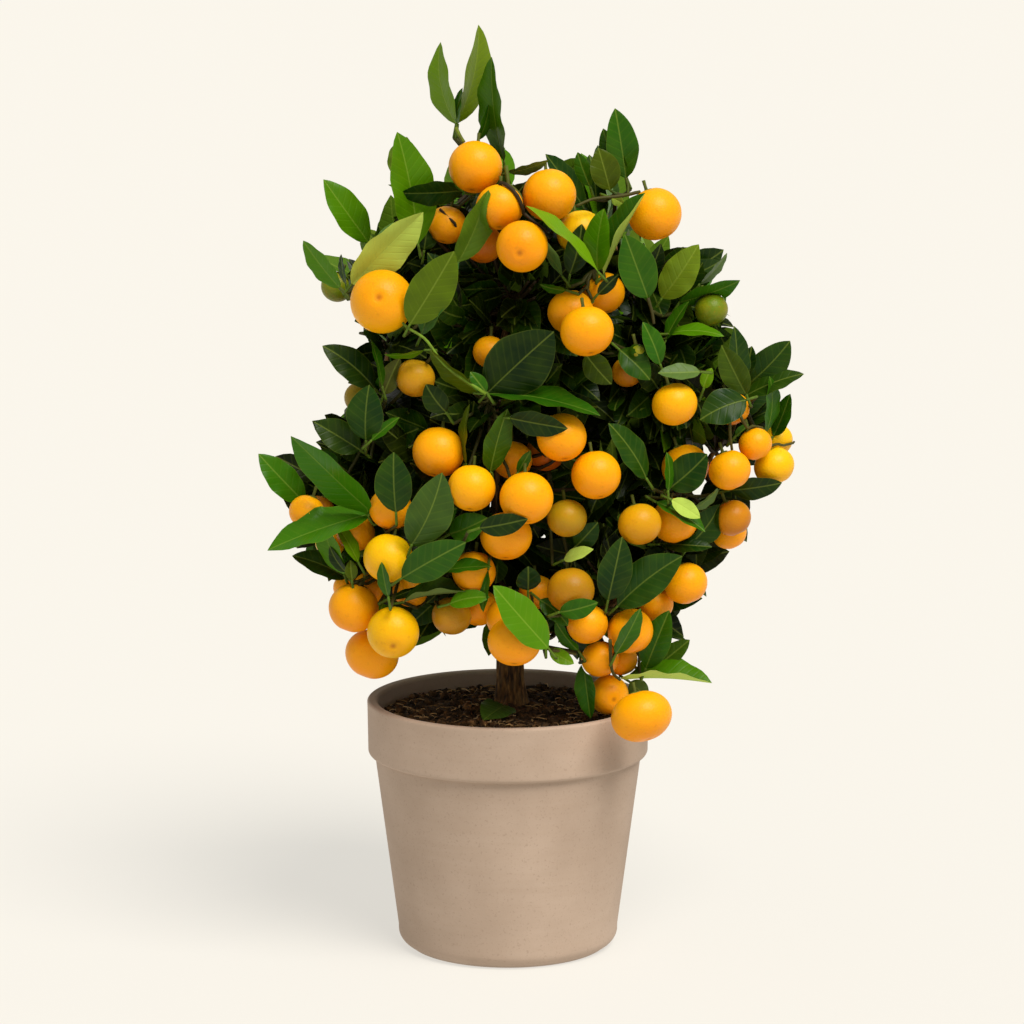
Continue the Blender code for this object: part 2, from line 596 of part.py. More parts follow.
def build_spray(name, source, degrees, fruit, taken, wood, finish):
    """One branchlet with its leaves and small fruit, joined into one solid."""
    rng = random.Random(name)
    (hub_across, hub_up, hub_depth), leaves, small = SPRAYS[source]
    hub = turned(spot(hub_across, hub_up, crown_front(hub_across, hub_up) - hub_depth)[0], degrees)
    own = []
    if degrees:
        small = small[:2]
        leaves = [leaf for leaf in leaves if leaf[4] >= 8][:5]
    for k in range(len(small)):
        centre, radius = fruit[(source, k)]
        centre = turned(centre, degrees)
        if degrees and not taken.clear(ball(centre, radius)):
            continue
        own.append((centre, radius * 0.99))
        if degrees:
            taken.balls.append((centre, radius))
    for _ in range(200):
        if taken.clear(ball(hub, 2.2 * MM)):
            break
        hub = hub + Vector([rng.uniform(-3, 3) * MM for _ in range(3)]) + Vector((0, 0.6 * MM, 0))
    solids = [ball(hub, 2.6 * MM, 1)]
    foot = nearest_wood(wood, hub, (GAP + 0.9) * MM)
    way = along_clear(taken, foot, hub, 1.2 * MM, rng)
    if way is not None:
        solids.append(tube(way, [1.2 * MM] * len(way), 4))
    else:
        print(f"{name}: its branchlet found no clear way")
    for centre, radius in own:
        mine = tuple(b for b in taken.balls if (b[0] - centre).length < 0.5 * radius)
        stalk = along_clear(taken, hub, centre, 0.9 * MM, rng, skip=mine)
        if stalk is None:
            print(f"{name}: a small fruit found no clear way")
            continue
        solids.append(ball(centre, radius))
        solids.append(tube(stalk, [0.9 * MM] * len(stalk), 3))
    for k, (a0, u0, a1, u1, width, depth, lean) in enumerate(leaves):
        roll = 1 if (k % 2) else -1
        front = crown_front((a0 + a1) / 2, (u0 + u1) / 2) - depth
        placed = False
        for slide in (0, 4, -4, 8, -8, 12, -12, 16, -16, 20, -20, 26, -26):
            base, scale = spot(a0, u0, front + slide - lean / 2)
            tip, _ = spot(a1, u1, front + slide + lean / 2)
            base = turned(base, degrees)
            tip = turned(tip, degrees)
            eye = turned(EYE, degrees)
            for way_round in (roll, -roll):
                shape = blade(base, tip, width * scale * MM, way_round, eye)
                if not taken.clear(shape):
                    continue
                stalk = along_clear(taken, hub, base, 0.75 * MM, rng, tries=80)
                if stalk is None:
                    continue
                stalk = stalk + [(shape[0][3] + shape[0][4]) / 2]
                if not taken.clear(tube(stalk, [0.9 * MM] * len(stalk), 3)):
                    continue
                solids += [shape, tube(stalk, [0.9 * MM] * len(stalk), 3)]
                placed = True
                break
            if placed:
                break
        if not placed:
            print(f"{name}: leaf {k + 1} found no clear place")
    return join(name, solids, finish)


# ---------------------------------------------------------------- build
def build():
    for obj in list(bpy.data.objects):
        bpy.data.objects.remove(obj)
    bpy.context.scene.unit_settings.system = "METRIC"
    bark = material("bark", (0.10, 0.055, 0.018), 0.9)
    green = material("leaf", (0.045, 0.12, 0.014), 0.35)
    pot = build_pot()
    trunk = build_trunk(bark)
    soil = build_soil(trunk)
    fruit = lay_out_fruit()
    taken = Taken()
    for thing in (pot, soil, trunk):
        taken.put_object(thing)
    taken.balls = list(fruit.values())
    wood = [(Vector(p[:3]) * MM, p[3] * MM) for p in TRUNK[3:]]
    for name, points in LIMBS.items():
        limb, path, radii = build_limb(name, points, taken, bark)
        taken.put_object(limb)
        for a, b, thick, thin in zip(path, path[1:], radii, radii[1:]):
            steps = max(1, int((b - a).length / (8 * MM)))
            wood += [(a.lerp(b, s / steps), thick + (thin - thick) * s / steps) for s in range(1, steps + 1)]
    for name, (_, _, _, _, squash, colour) in FRUIT.items():
        centre, radius = fruit[name]
        stem_to = min((w[0] for w in wood), key=lambda w: (w - centre - Vector((0, 0, 0.03))).length)
        skin = bpy.data.materials.get("skin_" + colour) or material("skin_" + colour, COLOURS[colour], 0.4)
        up = fruit_axis(centre, radius, stem_to, taken.balls)
        made = build_fruit(name, centre, radius, squash, skin, up)
        taken.put_object(made)
    for name in SPRAYS:
        made = build_spray(name, name, 0, fruit, taken, wood, green)
        taken.put_object(made)
    for name, (source, degrees) in BACK.items():
        made = build_spray(name, source, degrees, fruit, taken, wood, green)
        taken.put_object(made)


build()
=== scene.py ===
# %% [markdown]
# A calamondin in a clay pot
#
# The plant is one crown of leaves and small oranges on a short trunk, in a round clay pot. The solids
# of the pot, the wood, the larger fruit and the leaf sprays are already fixed in place, with their
# real sizes, so this file only makes the surfaces that the eye sees. The order is: the frame, the
# helpers for places and meshes, the finishes, the pot, the soil, the wood, the fruit, the leaves, and
# last the floor, the light and the camera.

# %% Load the fixed frame
import math

import bpy
import numpy as np
from mathutils import Matrix, Vector
from mathutils.bvhtree import BVHTree


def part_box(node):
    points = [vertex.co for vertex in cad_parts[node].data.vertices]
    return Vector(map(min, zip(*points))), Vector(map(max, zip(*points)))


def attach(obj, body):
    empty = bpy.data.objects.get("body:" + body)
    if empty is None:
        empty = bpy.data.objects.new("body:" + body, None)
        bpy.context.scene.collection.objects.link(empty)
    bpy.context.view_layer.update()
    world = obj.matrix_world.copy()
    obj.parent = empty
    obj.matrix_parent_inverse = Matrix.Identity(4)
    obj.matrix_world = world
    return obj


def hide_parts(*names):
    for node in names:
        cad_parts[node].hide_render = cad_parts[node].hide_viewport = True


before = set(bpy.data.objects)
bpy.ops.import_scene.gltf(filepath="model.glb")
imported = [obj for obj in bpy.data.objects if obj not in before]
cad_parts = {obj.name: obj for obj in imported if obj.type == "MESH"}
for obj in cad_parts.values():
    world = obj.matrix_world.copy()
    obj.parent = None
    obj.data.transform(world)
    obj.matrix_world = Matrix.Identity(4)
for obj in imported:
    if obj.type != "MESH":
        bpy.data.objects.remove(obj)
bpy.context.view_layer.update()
MM = 0.001

# %% [markdown]
# The crown is laid out as a front elevation: each fruit and leaf has a place across and up, as it is
# seen by one eye in front, and a depth behind the crown's front. One could give every leaf three
# coordinates in the plant's own space instead, which is the sounder way for a part that others will
# change. Here a leaf that is moved deeper slides along its line of sight and keeps its place in view.

# %% Places on the front elevation
EYE = Vector((0.002, -1.75, 0.5125))              # the eye, in metres
TILT = math.radians(9.55)                         # how far down it looks
SIGHT = 1.799                                     # metres from the eye to the elevation
AIM = (2.0, 213.0)                                # the middle of the view on the elevation
# The crown's front is half an ellipsoid: half width, depth, height of its middle, half height, set back.
SPREAD, REACH, MIDDLE, HALF_HEIGHT, SET_BACK = 148.0, 90.0, 262.0, 192.0, 14.0
TRUNK_X, TRUNK_Y = 1.5, 14.0


def sight_line(across, up):
    """Direction from the eye through a place on the elevation: the slope across and the slope up,
    turned down by the eye's tilt."""
    side = (across - AIM[0]) * MM / SIGHT
    rise = (up - AIM[1]) * MM / SIGHT
    return Vector((side, math.cos(TILT) + rise * math.sin(TILT), -math.sin(TILT) + rise * math.cos(TILT)))


def spot(across, up, forward):
    """The point on the sight line that lies this far forward of the pot's axis, and its scale."""
    line = sight_line(across, up)
    along = (-forward * MM - EYE.y) / line.y
    return EYE + line * along, along / SIGHT


def crown_front(across, up):
    """How far forward the crown's front is: half an ellipsoid, set back a little."""
    fall = (across / SPREAD) ** 2 + ((up - MIDDLE) / HALF_HEIGHT) ** 2
    return REACH * math.sqrt(max(0.06, 1.0 - fall)) - SET_BACK


def turned(point, degrees):
    """A point turned about the trunk's upright axis."""
    axis = Vector((TRUNK_X * MM, TRUNK_Y * MM, 0))
    return Matrix.Rotation(math.radians(degrees), 3, "Z") @ (Vector(point) - axis) + axis


print("crown front at its middle:", round(crown_front(0, MIDDLE)), "mm forward of the pot's axis")

# %% [markdown]
# Every surface here is a grid of points worked out with numpy and handed to the mesh in one go. A
# small class gathers several grids, such as all the leaves of a spray, into one mesh, and keeps the
# colour and the position on the leaf as attributes that the materials read.

# %% Mesh helpers
class Gather:
    """Collects grids of points, faces and their attributes until they become one mesh."""

    def __init__(self):
        self.points, self.quads, self.marks = [], [], []
        self.tints, self.flags, self.sharp = [], [], []
        self.count = 0

    def add(self, points, quads, mark=None, tint=None, flag=None, sharp=None):
        """points (n, 3); quads (m, 4); mark (n, 3) per point; tint (m, 3) and flag (m) per face."""
        points = np.asarray(points, float)
        quads = np.asarray(quads, int)
        self.points.append(points)
        self.quads.append(quads + self.count)
        self.marks.append(np.zeros((len(points), 3)) if mark is None else np.asarray(mark, float))
        tint = np.ones(3) if tint is None else tint
        self.tints.append(np.broadcast_to(tint, (len(quads), 3)))
        self.flags.append(np.zeros(len(quads)) if flag is None else np.broadcast_to(flag, (len(quads),)))
        self.sharp.append(np.zeros(len(points), bool) if sharp is None else np.asarray(sharp, bool))
        self.count += len(points)

    def piece(self, name, finish):
        """The gathered grids as one object; a quad whose last two corners are one point is a triangle."""
        points = np.concatenate(self.points)
        quads = np.concatenate(self.quads)
        faces = [tuple(dict.fromkeys(row)) for row in quads.tolist()]
        mesh = bpy.data.meshes.new(name)
        mesh.from_pydata(points.tolist(), [], faces)
        mesh.attributes.new("place", "FLOAT_VECTOR", "POINT").data.foreach_set(
            "vector", np.concatenate(self.marks).astype(np.float32).ravel())
        tint = np.concatenate(self.tints)
        tint = np.concatenate([tint, np.ones((len(tint), 1))], axis=1)
        mesh.attributes.new("tint", "FLOAT_COLOR", "FACE").data.foreach_set(
            "color", tint.astype(np.float32).ravel())
        mesh.attributes.new("under", "FLOAT", "FACE").data.foreach_set(
            "value", np.concatenate(self.flags).astype(np.float32))
        mesh.polygons.foreach_set("use_smooth", np.full(len(faces), True))
        rim = np.concatenate(self.sharp)
        if rim.any():
            ends = np.empty(len(mesh.edges) * 2, int)
            mesh.edges.foreach_get("vertices", ends)
            ends = ends.reshape(-1, 2)
            mesh.attributes.new("sharp_edge", "BOOLEAN", "EDGE").data.foreach_set(
                "value", rim[ends[:, 0]] & rim[ends[:, 1]])
        mesh.materials.append(finish)
        made = bpy.data.objects.new(name, mesh)
        bpy.context.scene.collection.objects.link(made)
        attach(made, "root")
        return made


def grid_quads(rows, sides, closed=True):
    """Corner numbers of a grid of rows by sides points; closed joins the last side to the first."""
    row = np.arange(rows - 1)[:, None]
    side = np.arange(sides if closed else sides - 1)[None, :]
    nxt = (side + 1) % sides
    below, above = row * sides, (row + 1) * sides
    return np.stack([below + side, below + nxt, above + nxt, above + side], -1).reshape(-1, 4)


def capped(points, rows, sides):
    """Closes a grid of rings with one point at each end, and gives its faces."""
    points = points.reshape(rows, sides, 3)
    first, last = points[0].mean(axis=0), points[-1].mean(axis=0)
    body = points.reshape(-1, 3)
    count = len(body)
    side = np.arange(sides)
    nxt = (side + 1) % sides
    low = np.stack([nxt, side, np.full(sides, count), np.full(sides, count)], -1)
    high = np.stack([side, nxt, np.full(sides, count + 1), np.full(sides, count + 1)], -1)
    high[:, :2] += (rows - 1) * sides
    return np.concatenate([body, [first], [last]]), np.concatenate([grid_quads(rows, sides), low, high])


def lathe(profile, sides):
    """Radius and height pairs turned about Z: x = r cos a, y = r sin a, z = h."""
    profile = np.asarray(profile, float)
    angle = np.linspace(0, 2 * np.pi, sides, endpoint=False)
    ring = np.stack([np.cos(angle), np.sin(angle)], -1)
    points = np.empty((len(profile), sides, 3))
    points[..., :2] = profile[:, None, :1] * ring[None]
    points[..., 2] = profile[:, 1:2]
    return points


def swept(path, radii, sides, groove=0.0, lobes=5, seed=0):
    """A tube: at each point of the path, a ring in the plane across it, r = radius (1 + groove bark)."""
    path = np.asarray(path, float)
    radii = np.asarray(radii, float)
    ahead = np.gradient(path, axis=0)
    ahead /= np.linalg.norm(ahead, axis=1, keepdims=True)
    across = np.cross(ahead, [0.31, 0.9, 0.11])
    across /= np.linalg.norm(across, axis=1, keepdims=True)
    other = np.cross(ahead, across)
    angle = np.linspace(0, 2 * np.pi, sides, endpoint=False)
    run = np.concatenate([[0], np.cumsum(np.linalg.norm(np.diff(path, axis=0), axis=1))])
    bark = np.sin(lobes * angle[None] + 2.5 * np.sin(run[:, None] * 90 + seed) + seed)
    bark = bark + 0.6 * np.sin((lobes * 2 + 1) * angle[None] - run[:, None] * 160 + 2 * seed)
    size = radii[:, None] * (1 + groove * bark)
    ring = across[:, None] * np.cos(angle)[None, :, None] + other[:, None] * np.sin(angle)[None, :, None]
    return path[:, None] + ring * size[..., None]


def curve_through(points, count):
    """A smooth path through the points: a Catmull-Rom curve with count steps."""
    points = np.asarray(points, float)
    ends = np.concatenate([[2 * points[0] - points[1]], points, [2 * points[-1] - points[-2]]])
    along = np.linspace(0, len(points) - 1 - 1e-9, count)
    span = along.astype(int)
    t = (along - span)[:, None]
    a, b, c, d = (ends[span + k] for k in range(4))
    return 0.5 * (2 * b + (c - a) * t + (2 * a - 5 * b + 4 * c - d) * t ** 2
                  + (3 * b - a - 3 * c + d) * t ** 3)


print("mesh helpers ready")

# %% [markdown]
# Each finish starts from what the thing is. The shader nodes are added with one small function that
# takes the node's settings and what is plugged into it. Colours are written as sRGB hex values,
# because that is how a colour chart gives them, and one function turns them linear.

# %% Finish helpers
def colour(text):
    """An sRGB hex value as linear red, green and blue."""
    value = np.array([int(text[i:i + 2], 16) for i in (1, 3, 5)]) / 255.0
    return tuple(np.where(value <= 0.04045, value / 12.92, ((value + 0.055) / 1.055) ** 2.4).tolist())


def plug(tree, socket, value):
    """Links an output to a socket, or sets the socket to a value."""
    if isinstance(value, bpy.types.NodeSocket):
        tree.links.new(value, socket)
    else:
        socket.default_value = value


def node(tree, kind, plugs=None, **settings):
    """Adds one node: settings go on the node, and each plug on an input, as a value or another output."""
    made = tree.nodes.new(kind)
    for key, value in settings.items():
        setattr(made, key, value)
    for key, value in (plugs or {}).items():
        plug(tree, made.inputs[key], value)
    return made


def finish(name, **values):
    """A new material with a Principled shader; values are the shader's own constant settings."""
    made = bpy.data.materials.new(name)
    made.use_nodes = True
    shader = made.node_tree.nodes["Principled BSDF"]
    for key, value in values.items():
        shader.inputs[key.replace("_", " ")].default_value = value
    return made, made.node_tree, shader


def mixed(tree, share, first, second, blend="MIX"):
    """A colour mix of two colours or outputs by a share."""
    first = (*first, 1) if isinstance(first, tuple) and len(first) == 3 else first
    second = (*second, 1) if isinstance(second, tuple) and len(second) == 3 else second
    made = node(tree, "ShaderNodeMix", data_type="RGBA", blend_type=blend)
    for number, value in ((0, share), (6, first), (7, second)):
        plug(tree, made.inputs[number], value)
    return made.outputs[2]


def ramp(tree, value, *stops):
    """A smooth step of a value: stops are (position, grey level or colour)."""
    made = node(tree, "ShaderNodeValToRGB", {"Fac": value})
    elements = made.color_ramp.elements
    while len(elements) < len(stops):
        elements.new(0.5)
    for element, (position, level) in zip(elements, stops):
        element.position = position
        element.color = (*level, 1) if isinstance(level, tuple) else (level, level, level, 1)
    return made.outputs["Color"]


def sums(tree, operation, first, second=0.0, third=0.0):
    """One arithmetic step on values or outputs."""
    made = node(tree, "ShaderNodeMath", operation=operation)
    for socket, value in zip(made.inputs, (first, second, third)):
        plug(tree, socket, value)
    return made.outputs[0]


print("finish helpers ready; mid grey #808080 is", round(colour("#808080")[0], 3), "when linear")

# %% [markdown]
# The pot is fired earthenware with no glaze: a dusty pinkish tan, quite matt. It was turned on a
# wheel, so faint rings run round it, and grit in the clay leaves darker specks. The patterns read
# Object coordinates: noise squeezed flat in height gives the turning marks, and coarse and fine
# noise give the bloom and the specks of about a millimetre.

# %% Unglazed earthenware
clay, tree, shader = finish("unglazed earthenware", Roughness=0.86, IOR=1.5)
where = node(tree, "ShaderNodeTexCoord").outputs["Object"]
flat = node(tree, "ShaderNodeMapping", {"Vector": where, "Scale": (1.0, 1.0, 14.0)}).outputs["Vector"]
rings = node(tree, "ShaderNodeTexNoise", {"Vector": flat, "Scale": 22.0, "Detail": 5.0}).outputs["Fac"]
bloom = node(tree, "ShaderNodeTexNoise", {"Vector": where, "Scale": 26.0, "Detail": 4.0}).outputs["Fac"]
grit = node(tree, "ShaderNodeTexNoise", {"Vector": where, "Scale": 900.0, "Detail": 2.0}).outputs["Fac"]
base = mixed(tree, ramp(tree, bloom, (0.32, 0.0), (0.70, 1.0)), colour("#ab9582"), colour("#b9a390"))
base = mixed(tree, ramp(tree, rings, (0.40, 0.0), (0.66, 0.16)), base, colour("#a8907a"))
base = mixed(tree, ramp(tree, grit, (0.60, 0.0), (0.70, 0.35)), base, colour("#8f7866"))
tree.links.new(base, shader.inputs["Base Color"])
relief = sums(tree, "MULTIPLY_ADD", rings, 0.25, sums(tree, "MULTIPLY", grit, 0.35))
bump = node(tree, "ShaderNodeBump", {"Height": relief, "Strength": 0.3, "Distance": 0.0005})
tree.links.new(bump.outputs["Normal"], shader.inputs["Normal"])
print("clay rings squeezed 14 times flat; grit about 1 mm")

# %% [markdown]
# Potting soil is peat and bark: almost black brown, dull, full of crumbs. The bark of a young citrus
# is brown and grooved along the stem. Both are noise on Object coordinates, at 2 to 8 mm for the
# soil and drawn out along the height for the bark.

# %% Soil, straw and bark
peat, tree, shader = finish("damp peat and bark crumbs", Roughness=0.95, Specular_IOR_Level=0.25)
where = node(tree, "ShaderNodeTexCoord").outputs["Object"]
crumb = node(tree, "ShaderNodeTexNoise", {"Vector": where, "Scale": 240.0, "Detail": 6.0}).outputs["Fac"]
tint = node(tree, "ShaderNodeAttribute", attribute_name="tint").outputs["Color"]
shade = ramp(tree, crumb, (0.34, colour("#1c140c")), (0.52, colour("#44301b")), (0.70, colour("#7d5a35")))
tree.links.new(mixed(tree, 1.0, shade, tint, "MULTIPLY"), shader.inputs["Base Color"])
bump = node(tree, "ShaderNodeBump", {"Height": crumb, "Strength": 0.9, "Distance": 0.0012})
tree.links.new(bump.outputs["Normal"], shader.inputs["Normal"])

straw, tree, shader = finish("dry straw and bark fibre", Roughness=0.85)
tint = node(tree, "ShaderNodeAttribute", attribute_name="tint").outputs["Color"]
tree.links.new(tint, shader.inputs["Base Color"])

bark, tree, shader = finish("young citrus bark", Roughness=0.82, Specular_IOR_Level=0.3)
where = node(tree, "ShaderNodeTexCoord").outputs["Object"]
tall = node(tree, "ShaderNodeMapping", {"Vector": where, "Scale": (1.0, 1.0, 0.22)}).outputs["Vector"]
grain = node(tree, "ShaderNodeTexNoise", {"Vector": tall, "Scale": 620.0, "Detail": 6.0}).outputs["Fac"]
patch = node(tree, "ShaderNodeTexNoise", {"Vector": where, "Scale": 120.0, "Detail": 3.0}).outputs["Fac"]
tint = node(tree, "ShaderNodeAttribute", attribute_name="tint").outputs["Color"]
shade = ramp(tree, grain, (0.34, colour("#2a1a0c")), (0.53, colour("#654722")), (0.72, colour("#96703c")))
shade = mixed(tree, ramp(tree, patch, (0.5, 0.0), (0.72, 0.5)), shade, colour("#6d5836"))
tree.links.new(mixed(tree, 1.0, shade, tint, "MULTIPLY"), shader.inputs["Base Color"])
bump = node(tree, "ShaderNodeBump", {"Height": grain, "Strength": 0.8, "Distance": 0.0008})
tree.links.new(bump.outputs["Normal"], shader.inputs["Normal"])

twig_skin, tree, shader = finish("green and brown twig skin", Roughness=0.6, Specular_IOR_Level=0.2)
where = node(tree, "ShaderNodeTexCoord").outputs["Object"]
patch = node(tree, "ShaderNodeTexNoise", {"Vector": where, "Scale": 300.0, "Detail": 3.0}).outputs["Fac"]
tint = node(tree, "ShaderNodeAttribute", attribute_name="tint").outputs["Color"]
shade = mixed(tree, ramp(tree, patch, (0.4, 0.0), (0.7, 0.5)), tint, colour("#3a2a12"))
tree.links.new(shade, shader.inputs["Base Color"])
print("wood and soil finishes ready")

# %% [markdown]
# Calamondin peel is thin, smooth and satin, with oil glands under it that show as fine pores about
# 0.8 mm apart. Light goes a little way into it, so the shaded side stays warm. Each fruit carries its
# ripeness as a colour attribute. The place attribute holds the height along its axis. With it, the half of
# the peel towards the flower end, the lower half on a hanging fruit, is painted darker and more orange as
# painted shade, the stalk end turns greener, and the small dark scar shows.

# %% Citrus peel
PORES_PER_METRE = 1150.0
peel, tree, shader = finish("calamondin peel", Roughness=0.42, IOR=1.45, Specular_IOR_Level=0.22,
                            Coat_Weight=0.04, Coat_Roughness=0.25, Subsurface_Weight=0.10,
                            Subsurface_Scale=0.003)
shader.inputs["Subsurface Radius"].default_value = (1.0, 0.30, 0.02)
where = node(tree, "ShaderNodeTexCoord").outputs["Object"]
tint = node(tree, "ShaderNodeAttribute", attribute_name="tint").outputs["Color"]
place = node(tree, "ShaderNodeSeparateXYZ",
             {"Vector": node(tree, "ShaderNodeAttribute", attribute_name="place").outputs["Vector"]})
blush = node(tree, "ShaderNodeTexNoise", {"Vector": where, "Scale": 55.0, "Detail": 2.0}).outputs["Fac"]
fleck = node(tree, "ShaderNodeTexNoise", {"Vector": where, "Scale": 420.0, "Detail": 2.0}).outputs["Fac"]
pores = node(tree, "ShaderNodeTexVoronoi", {"Vector": where, "Scale": PORES_PER_METRE}, feature="F1")
pores = pores.outputs["Distance"]
warm = mixed(tree, 0.4, tint, colour("#ffb408"))
skin = mixed(tree, ramp(tree, blush, (0.35, 0.0), (0.75, 0.7)), tint, warm)
# painted shade: the flower-end half of each fruit, its lower half when it hangs, is multiplied darker and
# more orange
painted_shade_lower_half = ramp(tree, place.outputs["Z"], (0.12, 1.0), (0.70, 0.0))
skin = mixed(tree, painted_shade_lower_half, skin, mixed(tree, 1.0, skin, colour("#f8dcd0"), "MULTIPLY"))
skin = mixed(tree, ramp(tree, fleck, (0.60, 0.0), (0.72, 0.18)), skin, colour("#b26a0c"), "MIX")
skin = mixed(tree, ramp(tree, pores, (0.05, 0.16), (0.30, 0.0)), skin, colour("#c86400"), "MIX")
stalk_end = ramp(tree, place.outputs["Z"], (0.90, 0.0), (0.985, 0.55))
skin = mixed(tree, stalk_end, skin, colour("#7c7a18"))
scar = ramp(tree, place.outputs["Z"], (0.008, 0.75), (0.055, 0.0))
skin = mixed(tree, scar, skin, colour("#a85a08"))
tree.links.new(skin, shader.inputs["Base Color"])
bump = node(tree, "ShaderNodeBump", {"Height": pores, "Strength": 0.22, "Distance": 0.0004})
tree.links.new(bump.outputs["Normal"], shader.inputs["Normal"])
print("pores about", round(1000 / PORES_PER_METRE, 2), "mm apart")

# %% [markdown]
# A citrus leaf is leathery, with a waxed upper side and a dull, paler underside. The blade attribute
# gives the share across, the distance along and the distance from the midrib in millimetres, so the
# midrib, the side veins every 4 mm and the thin pale margin stay on the leaf wherever it turns.

# %% Waxed citrus leaf
leaf_skin, tree, shader = finish("waxed citrus leaf", IOR=1.42, Specular_IOR_Level=0.16)
where = node(tree, "ShaderNodeTexCoord").outputs["Object"]
tint = node(tree, "ShaderNodeAttribute", attribute_name="tint").outputs["Color"]
under = node(tree, "ShaderNodeAttribute", attribute_name="under").outputs["Fac"]
blade = node(tree, "ShaderNodeSeparateXYZ",
             {"Vector": node(tree, "ShaderNodeAttribute", attribute_name="place").outputs["Vector"]})
off_rib = sums(tree, "ABSOLUTE", blade.outputs["Z"])
lean = sums(tree, "MULTIPLY_ADD", off_rib, -0.75, blade.outputs["Y"])
wave = sums(tree, "SINE", sums(tree, "MULTIPLY", lean, 2 * math.pi / 4.2))
vein = sums(tree, "POWER", sums(tree, "MULTIPLY_ADD", wave, 0.5, 0.5), 9.0)
rib = ramp(tree, sums(tree, "MULTIPLY", off_rib, 0.5), (0.10, 1.0), (0.26, 0.0))
margin = ramp(tree, sums(tree, "ABSOLUTE", blade.outputs["X"]), (0.95, 0.0), (1.0, 0.45))
cloud = node(tree, "ShaderNodeTexNoise", {"Vector": where, "Scale": 90.0, "Detail": 4.0}).outputs["Fac"]
lighter = mixed(tree, 0.25, tint, colour("#8fae0c"))
base = mixed(tree, ramp(tree, cloud, (0.36, 0.0), (0.70, 0.20)), tint, lighter)
base = mixed(tree, sums(tree, "MULTIPLY", vein, 0.10), base, mixed(tree, 0.25, tint, colour("#a9c03a")))
base = mixed(tree, sums(tree, "MULTIPLY", rib, 0.55), base, mixed(tree, 0.30, tint, colour("#b4c850")))
base = mixed(tree, margin, base, mixed(tree, 0.28, tint, colour("#a8b840")))
tree.links.new(base, shader.inputs["Base Color"])
gloss = sums(tree, "MULTIPLY_ADD", under, 0.28, sums(tree, "MULTIPLY_ADD", cloud, 0.16, 0.27))
tree.links.new(gloss, shader.inputs["Roughness"])
relief = sums(tree, "MULTIPLY_ADD", vein, -0.5, sums(tree, "MULTIPLY", rib, -0.9))
bump = node(tree, "ShaderNodeBump", {"Height": relief, "Strength": 0.35, "Distance": 0.0004})
tree.links.new(bump.outputs["Normal"], shader.inputs["Normal"])
print("side veins every 4.2 mm")

# %% [markdown]
# The pot is a thrown form, so it is a lathe shape: one profile turned about the upright axis. The
# profile goes up the outside, over the rolled lip and down the inside to the floor. Its sizes are the
# fixed solid's own: the rim band stands proud of the body by a few millimetres, over a soft step.

# %% Pot
low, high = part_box("pot")
rim_r, rim_top = (high.x - low.x) / 2 / MM, high.z / MM
band_low, foot_r, lip_r, floor_top, body_r = 96.0, 50.0, 64.5, 8.0, 65.8


def arc(centre, radius, start, stop, steps):
    """Points on a circle from one angle to another: (x + r cos a, z + r sin a)."""
    angle = np.radians(np.linspace(start, stop, steps))
    return [(centre[0] + radius * math.cos(a), centre[1] + radius * math.sin(a)) for a in angle]


foot_curve = arc((foot_r - 2.0, 7.5), 6.9, -64, -8, 8)
body_line = [(foot_r + 4.9 + (body_r - foot_r - 4.9) * s, 9.5 + (band_low - 12.5) * s)
             for s in np.linspace(0, 1, 14)]
step_curve = (arc((67.2, band_low + 0.2), 1.2, 185, 110, 5)
              + arc((rim_r - 2.4, band_low + 3.2), 2.0, -86, -6, 7))
band_line = [(rim_r - 0.4 + 0.3 * s, band_low + 4.2 + (rim_top - band_low - 7.0) * s)
             for s in np.linspace(0, 1, 7)]
lip_curve = (arc((rim_r - 1.4, rim_top - 1.4), 1.4, 6, 92, 9)
             + arc((lip_r + 2.0, rim_top - 2.2), 2.0, 88, 178, 8))
inside_line = [(lip_r - 0.1 - 16.5 * s, rim_top - 5 - (rim_top - 5 - floor_top - 4) * s)
               for s in np.linspace(0, 1, 12)]
floor_curve = arc((foot_r - 6.0, floor_top + 4.0), 4.0, -10, -90, 5) + [(30.0, floor_top), (12.0, floor_top)]
sole = [(12.0, 0.0), (30.0, 0.0), (foot_r - 1.5, 0.0), (foot_r - 0.4, 0.15)]
profile = sole + foot_curve + body_line + step_curve + band_line + lip_curve + inside_line + floor_curve
points = lathe(np.array(profile) * MM, 144)
points, quads = capped(points, len(profile), 144)
pot_shape = Gather()
pot_shape.add(points, quads)
pot = pot_shape.piece("pot_turned", clay)
drain_cutters = []
for k in range(4):
    turn = math.radians(45 + 90 * k)
    ring = lathe(np.array([(2.5, -3.0), (2.5, 12.0)]) * MM, 24)
    ring, faces = capped(ring + [0.03 * math.cos(turn), 0.03 * math.sin(turn), 0], 2, 24)
    mesh = bpy.data.meshes.new(f"drain_cutter_{k + 1}")
    mesh.from_pydata(ring.tolist(), [], [tuple(dict.fromkeys(row)) for row in faces.tolist()])
    cutter = bpy.data.objects.new(mesh.name, mesh)
    bpy.context.scene.collection.objects.link(cutter)
    cut = pot.modifiers.new(f"drain_{k + 1}", "BOOLEAN")
    cut.operation, cut.solver, cut.object = "DIFFERENCE", "EXACT", cutter
    drain_cutters.append(cutter)
bpy.context.view_layer.update()
drained = bpy.data.meshes.new_from_object(pot.evaluated_get(bpy.context.evaluated_depsgraph_get()))
pot.modifiers.clear()
pot.data = drained
for cutter in drain_cutters:
    bpy.data.objects.remove(cutter)
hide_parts("pot")
print("pot rim radius", round(rim_r, 1), "mm, height", round(rim_top, 1), "mm,",
      len(pot.data.polygons), "faces")

# %% [markdown]
# The soil stands a few millimetres below the lip. It is a disc whose height is a sum of waves, so it
# is lumpy and rises a little at the trunk. Loose crumbs and short straws lie on it: each crumb is a
# rough lump of a few dozen faces, because hundreds of them are needed, and a straw is a thin tube.

